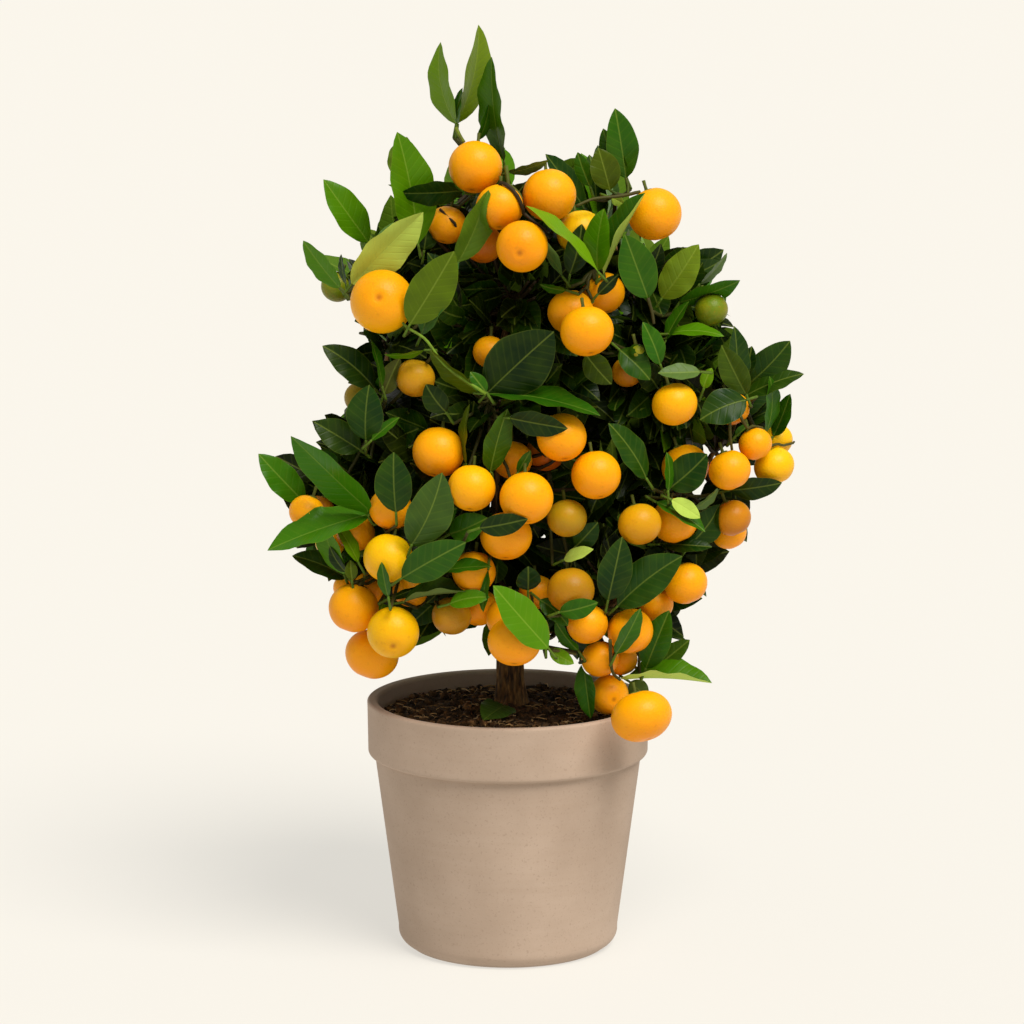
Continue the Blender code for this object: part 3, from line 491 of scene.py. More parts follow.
# %% Soil, crumbs and straws
rng = np.random.default_rng(7)
soil_low, soil_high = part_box("soil")
soil_r = (soil_high.x - soil_low.x) / 2
soil_top = 0.1165


def soil_height(x, y):
    """Level, plus a mound at the trunk, plus three sets of crossing waves of 5 to 20 mm."""
    far = np.hypot(x - TRUNK_X * MM, y - TRUNK_Y * MM)
    lumps = 0.9 * np.sin(330 * x + 1.2) * np.sin(290 * y) + 0.55 * np.sin(720 * x + 2 * np.sin(400 * y))
    lumps = lumps + 0.4 * np.sin(1250 * y + 2.4 * np.sin(900 * x)) + 0.3 * np.sin(2300 * x + 1900 * y)
    return soil_top + MM * (0.4 + 2.6 * np.exp(-(far / 0.022) ** 2) + 0.8 * lumps)


rings_out = np.linspace(0.0012, soil_r, 70)
angle = np.linspace(0, 2 * np.pi, 150, endpoint=False)
x = rings_out[:, None] * np.cos(angle)
y = rings_out[:, None] * np.sin(angle)
z = soil_height(x, y) - 0.0035 * np.clip((rings_out[:, None] / soil_r - 0.96) / 0.04, 0, 1) ** 2
surface = np.stack([x, y, z], -1)
bottom = lathe(np.array([(48.0, 9.0), (62.0, 95.0)]) * MM, 150)
bottom[1, :, :2] *= soil_r / 0.0629
solid = np.concatenate([bottom, surface[::-1]])
points, quads = capped(solid, len(solid), 150)
soil_shape = Gather()
soil_shape.add(points, quads)
soil = soil_shape.piece("potting_soil", peat)
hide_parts("soil")


def lump(centre, size, rng):
    """A crumb: a ball of 5 by 7 points, r = size (1 +- a third), and 0.8 as high as wide."""
    up = np.linspace(0.18, np.pi - 0.18, 5)
    turn = np.linspace(0, 2 * np.pi, 7, endpoint=False)
    rough = size * (1 + rng.uniform(-0.33, 0.33, (5, 7)))
    ball = np.stack([rough * np.sin(up)[:, None] * np.cos(turn), rough * np.sin(up)[:, None] * np.sin(turn),
                     -rough * np.cos(up)[:, None] * 0.8], -1)
    return capped(ball + centre, 5, 7)


crumbs = Gather()
for _ in range(900):
    far, turn = soil_r * math.sqrt(rng.uniform(0.01, 0.90)), rng.uniform(0, 2 * math.pi)
    x, y = far * math.cos(turn), far * math.sin(turn)
    if math.hypot(x - TRUNK_X * MM, y - TRUNK_Y * MM) < 0.010:
        continue
    size = float(rng.gamma(2.2, 0.00034)) + 0.0003
    points, quads = lump(np.array([x, y, float(soil_height(x, y)) + 0.3 * size]), min(size, 0.0030), rng)
    crumbs.add(points, quads, tint=np.array(colour("#ffffff")) * rng.uniform(0.45, 1.9))
crumb_piece = crumbs.piece("soil_crumbs", peat)

straws = Gather()
for _ in range(330):
    far, turn = soil_r * math.sqrt(rng.uniform(0.02, 0.86)), rng.uniform(0, 2 * math.pi)
    x, y = far * math.cos(turn), far * math.sin(turn)
    length, heading = rng.uniform(0.002, 0.008), rng.uniform(0, math.pi)
    step = np.array([math.cos(heading), math.sin(heading), 0]) * length / 2
    bend = np.array([-step[1], step[0], 0]) * rng.uniform(-0.5, 0.5)
    middle = np.array([x, y, float(soil_height(x, y)) + 0.0011])
    path = curve_through([middle - step, middle + bend + [0, 0, 0.0006], middle + step], 5)
    if np.hypot(path[:, 0] - TRUNK_X * MM, path[:, 1] - TRUNK_Y * MM).min() < 0.0095:
        continue
    if np.hypot(path[:, 0], path[:, 1]).max() > soil_r - 0.001:
        continue
    path[:, 2] = np.maximum(path[:, 2], soil_height(path[:, 0], path[:, 1]) + 0.0004)
    points, quads = capped(swept(path, np.full(5, rng.uniform(0.00014, 0.00034)), 4), 5, 4)
    shade = colour(rng.choice(["#8a6a3e", "#b08d5a", "#5e4526", "#3c2b18", "#c9a878"]))
    straws.add(points, quads, tint=shade)
straw_piece = straws.piece("soil_straws", straw)
print("soil", len(soil.data.polygons), "faces, crumbs", len(crumb_piece.data.polygons), "faces")

# %% [markdown]
# The trunk of a young citrus is a single stem, flared where it meets the soil, with bark in shallow
# crooked furrows. It is a tube along a path with a radius at each point; the furrows are waves round
# the ring that wander along the height. The limbs are thinner tubes of the same kind, and they start
# inside the trunk, so they grow out of it without a seam.

# %% Trunk and limbs
TRUNK = [(1.5, 14, 109, 10.5), (1.5, 14, 116, 9.8), (1.5, 14, 121, 8.4), (1.3, 14, 128, 7.2),
         (1.2, 14, 140, 6.7), (1.2, 13.5, 160, 6.4), (2.5, 13, 178, 5.8), (2.5, 13, 190, 5.0)]
LIMBS = {
    "limb_leader": [(2.5, 13, 178, 5.2), (0, 12, 230, 4.0), (-4, 14, 275, 3.4), (-8, 16, 320, 2.8),
                    (-6, 14, 362, 2.0), (-16, 6, 392, 1.3)],
    "limb_left": [(0, 13, 168, 3.6), (-9, 13, 175, 3.5), (-28, 8, 190, 3.0), (-52, 2, 222, 2.4),
                  (-60, 2, 268, 2.0), (-56, 2, 320, 1.5)],
    "limb_right": [(3, 13, 164, 3.8), (13.5, 13, 173, 3.7), (34, 10, 196, 3.2), (56, 6, 232, 2.7),
                   (68, 4, 272, 2.2), (62, 4, 318, 1.8), (50, 6, 356, 1.3)],
    "limb_low_right": [(3, 12, 150, 2.8), (12, 4, 157, 2.6), (40, -8, 166, 2.2), (66, -10, 190, 1.8),
                       (86, -8, 226, 1.5), (102, -4, 250, 1.2)],
    "limb_front": [(2, 12, 156, 3.1), (2, 2, 166, 2.9), (-6, -16, 190, 2.5), (-6, -26, 236, 2.0),
                   (-6, -26, 280, 1.7), (2, -24, 330, 1.3)],
    "limb_back": [(2, 14, 156, 3.4), (2, 25, 167, 3.1), (6, 44, 196, 2.7), (-4, 56, 240, 2.2),
                  (4, 54, 290, 1.8), (-2, 44, 340, 1.3)],
}


def wood_tube(points, steps, sides, groove, lobes, seed):
    """A bark tube through the points (x, y, z, radius) in millimetres, closed at both ends."""
    points = np.asarray(points, float)
    path = curve_through(points[:, :3] * MM, steps)
    radii = curve_through(np.repeat(points[:, 3:], 3, axis=1), steps)[:, 0] * MM
    return capped(swept(path, radii, sides, groove, lobes, seed), steps, sides), path


(points, quads), _ = wood_tube(TRUNK, 150, 72, 0.055, 7, 2)
trunk_shape = Gather()
trunk_shape.add(points, quads)
trunk = trunk_shape.piece("trunk_bark", bark)
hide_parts("trunk")
wood = []
for k, (name, route) in enumerate(LIMBS.items()):
    (points, quads), path = wood_tube(route, 110, 18, 0.05, 5, k)
    limb_shape = Gather()
    limb_shape.add(points, quads)
    limb = limb_shape.piece(name + "_bark", bark)
    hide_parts(name)
    wood += list(path[12::3])
wood_points = np.array(wood)                      # where branchlets may grow from
print("trunk and", len(LIMBS), "limbs")

# %% [markdown]
# The fruit and leaf layout. Named fruit have solids of their own; small fruit and leaves belong to a
# spray. Each row is a place on the elevation and a colour. Fruit that would touch are slid apart
# along the line of sight, the same way the solids were, so both agree.

# %% The layout table
RIPE, AMBER, YELLOW = "#f8ab00", "#f8b700", "#f0c400"
# name: (across, up, depth behind the crown's front, radius, height as a part of width, colour)
FRUIT = {
    "fruit_top_left": (-16.5, 385.5, 0, 13.5, 0.97, RIPE),
    "fruit_left_shoulder": (-63, 318.5, -4, 16, 1.0, AMBER),
    "fruit_top_right": (20.5, 371.5, 0, 13.5, 0.97, RIPE),
    "fruit_upper_centre": (7, 346, 0, 13, 0.97, RIPE),
    "fruit_right_top": (73.5, 362, 6, 13.5, 0.97, RIPE),
    "fruit_right_face": (39.5, 303.5, 0, 13.5, 0.92, RIPE),
    "fruit_right_shoulder": (83.5, 267, 4, 11.5, 0.92, AMBER),
    "fruit_left_middle": (-35, 243, 4, 13, 0.97, RIPE),
    "fruit_left_heart": (-18, 225, 0, 12, 0.97, AMBER),
    "fruit_heart": (9, 220, -4, 13.5, 0.97, RIPE),
    "fruit_right_heart": (27, 250.5, 2, 12.5, 0.97, RIPE),
    "fruit_right_middle": (44, 231.5, 0, 12.5, 0.97, RIPE),
    "fruit_under_heart": (-1, 201, -2, 13, 0.92, RIPE),
    "fruit_lowest_centre": (3, 148.5, -6, 13.5, 0.92, RIPE),
    "fruit_low_right": (61, 153.5, 2, 11.5, 0.98, RIPE),
    "fruit_before_rim": (67, 111, 0, 15.5, 0.82, RIPE),
    "fruit_far_right": (111, 234, 2, 10.7, 0.92, RIPE),
    "fruit_far_right_tip": (133, 236, 0, 10.3, 0.9, YELLOW),
    "fruit_left_bright": (-60, 190, -4, 12.6, 0.97, YELLOW),
    "fruit_left_low": (-77, 165, 0, 12.6, 0.97, RIPE),
    "fruit_left_lower": (-57.5, 153, -2, 13.1, 0.96, YELLOW),
    "fruit_left_lowest": (-68, 142, 2, 13.6, 0.9, RIPE),
}
FORWARD = {"fruit_before_rim": 66.0}
# Where a flower-end dimple faces the front: its offset from the fruit's middle, in radii.
DIMPLES = {"fruit_left_shoulder": (-0.10, 0.12), "fruit_upper_centre": (-0.10, -0.30),
           "fruit_left_lower": (0.0, -0.60), ("spray_over_rim", 0): (0.28, -0.25)}
OLD, DARK, MID, YOUNG, FRESH = "#1d4310", "#153409", "#38700f", "#5f9608", "#7fae12"
GREY, OLIVE, BROWN, PALE = "#6f8a5a", "#5a6a06", "#6b6a3c", "#a9c25c"
# spray: (hub), leaves (base across, up, tip across, up, seen width, depth, lean, colour, back colour),
# small fruit (across, up, depth, radius, colour)
SPRAYS = {
    "spray_top": ((-10, 384, 24), [
        (-26, 407, -16, 457, 13, 4, 6, "#88a015", ""), (-26, 407, -33, 448, 11, 6, -6, "#7ea30e", ""),
        (-15, 399, -10, 417, 5, 8, 0, MID, ""), (-2, 389, -6, 441, 12, 6, 8, "#4a7a0c", ""),
        (0, 383, 20, 390, 5, 6, 4, GREY, ""), (-25, 407, -22, 425, 4, 10, 0, MID, ""),
        (5, 371, 25, 383, 4, 12, 0, DARK, "")],
        [(-4, 365.5, 4, 12, RIPE), (-12.5, 347, 24, 10, "#c06a04")]),
    "spray_top_left": ((-41, 355, 26), [
        (-45, 347, -56, 403, 22, 4, 4, "#639808", ""), (-22, 374, -54, 373, 12, 6, 8, OLD, ""),
        (-42, 344, -40, 357, 11, 22, 0, DARK, "")], [(-30.5, 356.5, 24, 10, RIPE)]),
    "spray_left_shoulder": ((-76, 328, 26), [
        (-70, 348, -93, 379, 16, 10, 6, "#619808", ""), (-84, 325, -102, 349, 10, 10, 0, YOUNG, ""),
        (-78, 327, -43, 364, 20, 0, 8, "", "#b3c862"), (-81, 327, -83, 342, 3, 8, 0, OLD, "")], []),
    "spray_left_face": ((-40, 314, 26), [
        (-49, 307, -27, 344, 22, -13, 8, "#6a800a", ""), (-43, 302, -24, 338, 15, -3, 8, "#4a7c48", ""),
        (-25, 338, -11, 375, 15, -2, 8, "#7a9f36", "")], []),
    "spray_top_right": ((54, 372, 26), [
        (59, 380, 53, 415, 16, 16, 4, "#37690a", ""), (59, 381, 48, 405, 11, 22, 0, "#37690a", ""),
        (51, 374, 45, 395, 15, 16, 0, "#55640a", ""), (41, 376, 35, 393, 8, 18, 0, MID, ""),
        (52, 370, 58, 367, 5, 16, 0, PALE, "")], [(36, 352.5, 22, 12, YELLOW)]),
    "spray_right_upper": ((47, 330, 26), [
        (48, 332, 70, 372, 11, 8, 8, MID, "#a4bd5a"), (45, 334, 49, 365, 13, 0, 8, "#639c0a", ""),
        (45, 333, 8, 365, 6, -8, 10, "#8fbf1f", ""), (31, 332, 37, 357, 12, 14, 0, DARK, ""),
        (27, 331, 7, 354, 6, -15, 4, GREY, ""), (29, 324, 16, 327, 4, 6, 0, MID, ""),
        (45, 322, 55, 332, 6, 6, 0, DARK, "")],
        [(31.5, 313, 6, 11.7, RIPE), (47.5, 322.5, 26, 11, RIPE)]),
    "spray_right_shoulder": ((82, 312, 26), [
        (70, 320, 58, 352, 19, 2, 8, "#376c0e", ""), (77, 320, 96, 347, 17, 8, 8, "#8fa631", ""),
        (86, 318, 116, 329, 10, 10, 8, "#3f7d14", ""), (79, 299, 91, 318, 6, 12, 0, MID, ""),
        (96, 327, 109, 343, 4, 14, 0, GREY, "")], [(101.5, 314, 14, 8.5, "#557c10")]),
    "spray_right_side": ((76, 290, 26), [
        (76, 287, 67, 308, 10, 8, 4, MID, ""), (80, 302, 108, 300, 6, 6, 4, YOUNG, ""),
        (96, 283, 75, 282, 8, -2, 4, GREY, ""), (56, 294, 71, 279, 13, 12, 4, "#2d5a10", ""),
        (39, 292, 52, 277, 13, 12, 4, "#3a4a0a", ""), (98, 275, 102, 285, 6, 6, 0, FRESH, "")],
        [(59.5, 283, 24, 8, "#a8720a"), (65, 293, 12, 4, "#6f9020")]),
    "spray_far_right": ((117, 268, 20), [
        (114, 272, 113, 306, 11, 8, 4, OLD, ""), (119, 272, 107, 297, 14, 2, 4, "#4d6410", ""),
        (120, 277, 141, 299, 17, 6, 4, "#264a08", ""), (119, 271, 148, 282, 10, 0, 4, "#2a4a10", ""),
        (129, 253, 130, 281, 7, 4, 4, MID, ""), (133, 251, 142, 272, 9, 4, 4, MID, ""),
        (119, 269, 96, 259, 18, -2, 6, OLD, ""), (119, 282, 122, 296, 7, 10, 0, DARK, ""),
        (114, 251, 120, 257, 5, 8, 0, MID, "")],
        [(123.5, 247, 6, 8.5, RIPE), (134, 249, 14, 8.5, YELLOW), (112.5, 264.5, 16, 8.5, RIPE)]),
    "spray_right_arm": ((86, 222, 30), [
        (111, 224, 137, 228, 11, 6, 4, DARK, ""), (81, 225, 100, 242, 18, -2, 6, OLD, ""),
        (69, 230, 49, 257, 13, 6, 6, "#275010", ""), (74, 218, 98, 202, 8, 0, 6, MID, ""),
        (91, 197, 106, 217, 15, 12, 0, OLD, ""), (76, 197, 102, 195, 9, 14, 4, OLD, ""),
        (80, 224, 79, 243, 5, 2, 0, MID, ""), (82, 219, 96, 210, 8, -4, 0, "", PALE),
        (91, 214, 105, 226, 4, 4, 0, GREY, "")],
        [(83.5, 209, 16, 12, RIPE), (88.5, 235.5, 20, 12, RIPE), (112, 210, 8, 9.5, "#b8780a"),
         (110.5, 203, 20, 9, RIPE), (66, 207, 4, 11, "#d09c08")]),
    "spray_right_low": ((60, 166, 32), [
        (50, 169, 57, 201, 17, 0, 6, "#1f4416", ""), (55, 166, 88, 191, 21, -4, 8, "#2b5420", ""),
        (54, 142, 66, 165, 9, -2, 4, MID, ""), (69, 135, 81, 164, 15, 0, 4, MID, ""),
        (26, 163, 45, 168, 10, -6, 4, MID, "")],
        [(89, 177.5, 8, 11, RIPE), (74, 167, 22, 9, RIPE), (31.5, 174, 6, 12, "#a87c0c"),
         (39.5, 157, 8, 10.5, RIPE)]),
    "spray_over_rim": ((54, 141, 25), [
        (56, 129, 102, 126, 12, -6, 10, "#5b940c", "#b0cb64"), (76, 137, 91, 149, 9, 8, 0, "#4a6a1a", ""),
        (38, 137, 42, 110, 10, 2, 4, MID, ""), (21, 144, 33, 137, 7, 0, 4, FRESH, ""),
        (61, 128, 70, 121, 10, 10, 0, GREY, ""), (35, 144, 24, 159, 7, 6, 0, MID, "")],
        [(50.5, 121.5, 6, 10, AMBER), (46, 139.5, 8, 9.5, RIPE), (57, 139, 12, 8, RIPE)]),
    "spray_low_centre": ((17, 152, 34), [
        (20, 145, -8, 176, 18, -14, 6, "#62980a", ""), (16, 169, 30, 156, 10, 2, 4, MID, ""),
        (10, 174, 10, 186, 12, 4, 4, DARK, ""), (19, 147, 19, 159, 5, -6, 0, PALE, "")],
        [(1, 160, 6, 12, RIPE), (14.5, 173, 18, 9, RIPE)]),
    "spray_heart": ((-9, 270, 28), [
        (-10, 273, 23, 304, 31, -2, 8, "#143209", ""), (-11, 272, 46, 260, 10, -2, 8, "#2f6a10", ""),
        (1, 260, 30, 255, 12, 0, 6, DARK, ""), (-11, 272, -38, 296, 8, 0, 6, OLIVE, ""),
        (-9, 233, -1, 265, 13, 0, 4, "#456a10", ""), (-31, 263, -41, 277, 12, 6, 0, DARK, ""),
        (-11, 273, -19, 283, 7, -4, 0, MID, ""), (-21, 237, -19, 267, 4, 2, 0, OLIVE, ""),
        (5, 233, 11, 244, 5, 2, 0, MID, "")], [(-9, 293, 20, 8.5, RIPE)]),
    "spray_under_heart": ((20, 236, 40), [
        (34, 196, 45, 208, 11, 12, 4, OLD, ""), (28, 189, 43, 194, 6, 6, 4, "", PALE)],
        [(2, 239, 22, 10, RIPE), (19, 243, 32, 10, "#c86c06"), (29.5, 210, 6, 10, "#a88c10")]),
    "spray_left_side": ((-66, 260, 28), [
        (-67, 275, -93, 296, 15, 8, 4, "#1c3a06", ""), (-71, 249, -69, 277, 19, 2, 4, OLD, ""),
        (-74, 244, -97, 258, 16, 4, 4, "#2a4512", ""), (-62, 272, -54, 290, 10, 10, 0, BROWN, ""),
        (-87, 233, -95, 243, 10, 8, 0, MID, ""), (-68, 249, -54, 260, 5, 2, 0, MID, ""),
        (-63, 276, -70, 299, 4, 2, 0, MID, ""), (-42, 294, -62, 292, 3, 0, 0, YOUNG, "")],
        [(-46.5, 280, 14, 10, "#c89a14"), (-73.5, 270, 16, 8.5, "#8f8010")]),
    "spray_left_arm": ((-74, 214, 30), [
        (-102, 218, -125, 242, 15, 6, 4, "#437f0a", ""), (-68, 213, -107, 253, 17, -4, 6, "#4a8c0c", ""),
        (-68, 212, -120, 193, 16, -8, 6, "#4f8f0c", ""), (-56, 213, -57, 243, 19, 6, 4, "#24480f", "")],
        [(-100.5, 213, 4, 9, RIPE), (-94, 214, 18, 7.5, "#a8640a"), (-58.5, 214.5, 8, 11, RIPE),
         (-76.5, 203, 16, 10, RIPE)]),
    "spray_left_middle": ((-52, 192, 32), [
        (-48, 197, -33, 233, 23, -6, 6, "#4d6a35", ""), (-49, 197, -25, 215, 15, -2, 6, MID, ""),
        (-53, 180, -21, 198, 18, -10, 6, "#3c6a1e", ""), (-82, 182, -93, 211, 10, 0, 4, YOUNG, ""),
        (-81, 180, -108, 191, 12, 2, 4, "#2c4a1c", ""), (-29, 202, -10, 210, 14, 0, 4, MID, ""),
        (-75, 188, -87, 207, 7, 0, 0, FRESH, ""), (-81, 183, -89, 196, 5, -2, 0, DARK, ""),
        (-78, 179, -79, 189, 6, -2, 0, OLIVE, ""), (-60, 171, -63, 188, 6, -17, 0, MID, ""),
        (-59, 170, -45, 176, 4, 0, 0, DARK, "")],
        [(-89, 197.5, 18, 7.5, YELLOW), (-69, 175, 22, 8.5, RIPE), (-80, 175, 26, 7.5, RIPE)]),
    "spray_left_low": ((-34, 174, 34), [
        (-52, 168, -18, 171, 12, -4, 6, "#3a5a1c", "#5d7042"), (-29, 167, -9, 170, 9, -8, 4, YOUNG, ""),
        (-14, 205, 10, 210, 11, -14, 4, DARK, ""), (-34, 183, -8, 185, 6, -2, 4, MID, ""),
        (-10, 184, -12, 163, 6, 2, 0, MID, "")],
        [(-17, 183, 4, 11, RIPE), (-28, 161, 6, 10, "#b08a18"), (-15, 165.5, 18, 10, RIPE),
         (-49, 174, 20, 9, RIPE)]),
}
BACK = {
    "spray_back_top": ("spray_top_left", 168),
    "spray_back_top_side": ("spray_top_right", 194),
    "spray_back_shoulder_left": ("spray_right_shoulder", 172),
    "spray_back_shoulder_right": ("spray_left_shoulder", 190),
    "spray_back_heart": ("spray_heart", 182),
    "spray_back_side_left": ("spray_right_side", 168),
    "spray_back_side_right": ("spray_left_side", 195),
    "spray_back_middle": ("spray_left_face", 160),
    "spray_back_low_left": ("spray_right_low", 176),
    "spray_back_low_right": ("spray_left_middle", 188),
}
EXTRA_FRUIT = {("spray_right_side", 1)}          # too small to have a place in the fixed solids


def settle(places):
    """Slides touching fruit apart along the line of sight: each round, a pair closer than its radii
    moves apart in depth by 0.6 of what is missing, the nearer one forward."""
    for _ in range(400):
        moved = False
        spots = [spot(p[0], p[1], p[2]) for p in places]
        for i, one in enumerate(places):
            for j in range(i + 1, len(places)):
                two = places[j]
                need = (one[3] + two[3]) * MM * 0.99 + 0.5 * MM
                apart = spots[i][0] - spots[j][0]
                if apart.length >= need:
                    continue
                step = (need - apart.length) / MM * 0.6 + 0.15
                nearer = 1 if one[2] >= two[2] else -1
                if not one[4]:
                    one[2] += step * nearer
                if not two[4]:
                    two[2] -= step * nearer
                spots[i] = spot(*one[:3])
                spots[j] = spot(*two[:3])
                moved = True
        if not moved:
            break


keys, places = [], []
for name, (across, up, depth, radius, _, _) in FRUIT.items():
    keys.append(name)
    ahead = FORWARD.get(name, crown_front(across, up) - depth)
    places.append([across, up, ahead, radius, name in FORWARD])
for spray, (_, _, small) in SPRAYS.items():
    for k, (across, up, depth, radius, _) in enumerate(small):
        if (spray, k) not in EXTRA_FRUIT:
            keys.append((spray, k))
            places.append([across, up, crown_front(across, up) - depth, radius, False])
settle(places)
BERRIES = {}
for key, (across, up, ahead, radius, _) in zip(keys, places):
    centre, scale = spot(across, up, ahead)
    BERRIES[key] = (centre, radius * scale * MM)
for key in EXTRA_FRUIT:
    across, up, depth, radius, _ = SPRAYS[key[0]][2][key[1]]
    centre, scale = spot(across, up, crown_front(across, up) - depth)
    BERRIES[key] = (centre, radius * scale * MM)
worst = 0.0
for name in FRUIT:
    low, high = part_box(name)
    middle = (low + high) / 2
    worst = max(worst, math.hypot(middle.x - BERRIES[name][0].x, middle.y - BERRIES[name][0].y) / MM)
print(len(BERRIES), "fruit; farthest from its solid, with the stalk:", round(worst, 1), "mm")

# %% [markdown]
# A calamondin is a slightly flattened ball: dimpled at the flower end, with a small star-shaped
# calyx and a stalk at the other. Its surface here is a radius for each angle from the flower end,
# with two dips and shallow ribs near the stalk. The stalk points to the branch, except that a few
# fruit show the flower end to the front.

# %% Fruit
def frame_along(axis, about=0.0):
    """Two directions across an axis, turned about it."""
    axis = np.asarray(axis, float) / np.linalg.norm(axis)
    guide = np.array([0.0, 0.0, 1.0]) if abs(axis[2]) < 0.9 else np.array([1.0, 0.0, 0.0])
    one = np.cross(guide, axis)
    one /= np.linalg.norm(one)
    two = np.cross(axis, one)
    return one * math.cos(about) + two * math.sin(about), two * math.cos(about) - one * math.sin(about), axis


def berry(centre, radius, squash, axis, rings, sides, rng):
    """Radius at angle t from the flower end: R (1 - 0.085 e^(-(t/0.17)^2) - 0.10 e^(-((pi-t)/0.30)^2)),
    with five shallow ribs near the stalk, and flattened along the axis."""
    one, two, axis = frame_along(axis, rng.uniform(0, 6.28))
    t = np.linspace(0, np.pi, rings + 2)[1:-1]
    t = t - 0.10 * np.sin(2 * t)
    turn = np.linspace(0, 2 * np.pi, sides, endpoint=False)
    size = 1 - 0.085 * np.exp(-(t / 0.17) ** 2) - 0.10 * np.exp(-((np.pi - t) / 0.30) ** 2)
    size = size[:, None] * (1 + 0.012 * np.exp(-((np.pi - t) / 0.55) ** 2)[:, None] * np.sin(5 * turn)[None])
    lopsided = 1 + 0.018 * np.sin(turn + rng.uniform(0, 6.28))[None] * np.sin(t)[:, None]
    size = size * lopsided * radius
    out = size * np.sin(t)[:, None]
    high = -size * np.cos(t)[:, None] * squash
    points = (np.asarray(centre) + one * (out * np.cos(turn))[..., None]
              + two * (out * np.sin(turn))[..., None] + axis * high[..., None])
    points, quads = capped(points, rings, sides)
    share = np.concatenate([np.repeat(t / np.pi, sides), [0.0, 1.0]])
    mark = np.stack([np.zeros_like(share), np.zeros_like(share), share], -1)
    return points, quads, mark


def calyx(centre, radius, squash, axis, rng, gather):
    """Five pointed green sepals round the stalk: a star, r = R (0.17 + 0.07 cos 5a)."""
    one, two, axis = frame_along(axis, rng.uniform(0, 6.28))
    base = np.asarray(centre) + axis * radius * squash * 0.925
    turn = np.linspace(0, 2 * np.pi, 20, endpoint=False)
    star = radius * (0.17 + 0.07 * np.cos(5 * turn)) + 0.0004
    rings = []
    for out, lift in ((0.16, 0.00075), (0.7, 0.00045), (1.0, 0.0001), (0.85, -0.0005), (0.2, -0.0009)):
        edge = (one * np.cos(turn)[:, None] + two * np.sin(turn)[:, None]) * (star * out)[:, None]
        rings.append(base + edge + axis * (lift + 0.0002))
    points, quads = capped(np.array(rings)[::-1], 5, 20)
    gather.add(points, quads, tint=colour("#5d6b1c"))


def berry_axis(key, centre, radius):
    """Towards the trunk line and up, leant towards the front for fruit that show the flower end."""
    if key in DIMPLES:
        side, rise = DIMPLES[key]
        toward = (EYE - centre).normalized()
        across = Vector((0, 0, 1)).cross(toward).normalized()
        over = toward.cross(across)
        face = toward * math.sqrt(max(0.05, 1 - side * side - rise * rise)) + across * side + over * rise
        return -face.normalized()
    inward = Vector((TRUNK_X * MM - centre.x, TRUNK_Y * MM - centre.y, 0))
    inward = inward / max(inward.length, 0.02)
    return Vector((inward.x * 0.42, inward.y * 0.42, 0.86)).normalized()


rng = np.random.default_rng(21)
stalks = Gather()


def add_berry(gather, key, centre, radius, squash, text, fine):
    """One fruit in a mesh, its calyx and stalk in the stalk mesh."""
    axis = berry_axis(key, centre, radius)
    rings, sides = (26, 40) if fine else (18, 28)
    points, quads, mark = berry(centre, radius, squash, axis, rings, sides, rng)
    gather.add(points, quads, mark=mark, tint=colour(text))
    calyx(centre, radius, squash, axis, rng, stalks)
    top = np.asarray(centre) + np.asarray(axis) * radius * squash * 0.92
    away = np.asarray(axis) * 0.0045 + np.array([0, 0, 0.0012])
    path = curve_through([top - np.asarray(axis) * 0.001, top + away * 0.5, top + away], 5)
    points, quads = capped(swept(path, np.array([1.1, 0.9, 0.8, 0.85, 0.9]) * MM, 8), 5, 8)
    stalks.add(points, quads, tint=colour("#55601c"))


for name, (_, _, _, _, squash, text) in FRUIT.items():
    one = Gather()
    add_berry(one, name, *BERRIES[name], squash, text, True)
    made = one.piece(name + "_peel", peel)
    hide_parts(name)
BACK_BERRIES = {}
for spray, (_, _, small) in SPRAYS.items():
    if not small:
        continue
    bunch = Gather()
    for k, row in enumerate(small):
        add_berry(bunch, (spray, k), *BERRIES[(spray, k)], 0.94, row[4], False)
    made = bunch.piece(spray.replace("spray", "berries"), peel)
for name, (source, degrees) in BACK.items():
    bunch = Gather()
    for k, row in enumerate(SPRAYS[source][2][:2]):
        centre, radius = BERRIES[(source, k)]
        centre = turned(centre, degrees)
        others = [*BERRIES.values(), *BACK_BERRIES.values()]
        if any((centre - c).length < (r + radius) * 0.97 for c, r in others):
            continue
        BACK_BERRIES[(name, k)] = (centre, radius)
        add_berry(bunch, (name, k), centre, radius, 0.94, row[4], False)
    if bunch.count:
        made = bunch.piece(name.replace("spray", "berries"), peel)
stalk_piece = stalks.piece("fruit_stalks", twig_skin)
ALL_BALLS = list(BERRIES.values()) + list(BACK_BERRIES.values())
ball_centres = np.array([c for c, _ in ALL_BALLS])
ball_radii = np.array([r for _, r in ALL_BALLS])
print(len(ALL_BALLS), "fruit made,", len(BACK_BERRIES), "of them at the back")

# %% [markdown]
# A leaf is a grid along and across the blade. It is widest near the middle, folded a
# little along the midrib, arched between stalk and tip, and its edge waves. The two sides are two
# layers 0.3 mm apart that share the border, so the blade is closed. The face is turned to the eye and
# then rolled, by the angle whose cosine is the seen width over the real width. Where a fruit is in
# the way, the blade is laid against the fruit.

# %% Leaf blades
def keep_out(points, margin=0.55):
    """Moves every point that is inside a fruit out to its surface, along the line from its middle."""
    points = np.asarray(points, float).copy()
    for _ in range(2):
        gap = points[:, None] - ball_centres[None]
        far = np.linalg.norm(gap, axis=2)
        inside = far < ball_radii[None] + margin * MM
        for p, b in zip(*np.nonzero(inside)):
            points[p] = ball_centres[b] + gap[p, b] / max(far[p, b], 1e-6) * (ball_radii[b] + margin * MM)
    return points


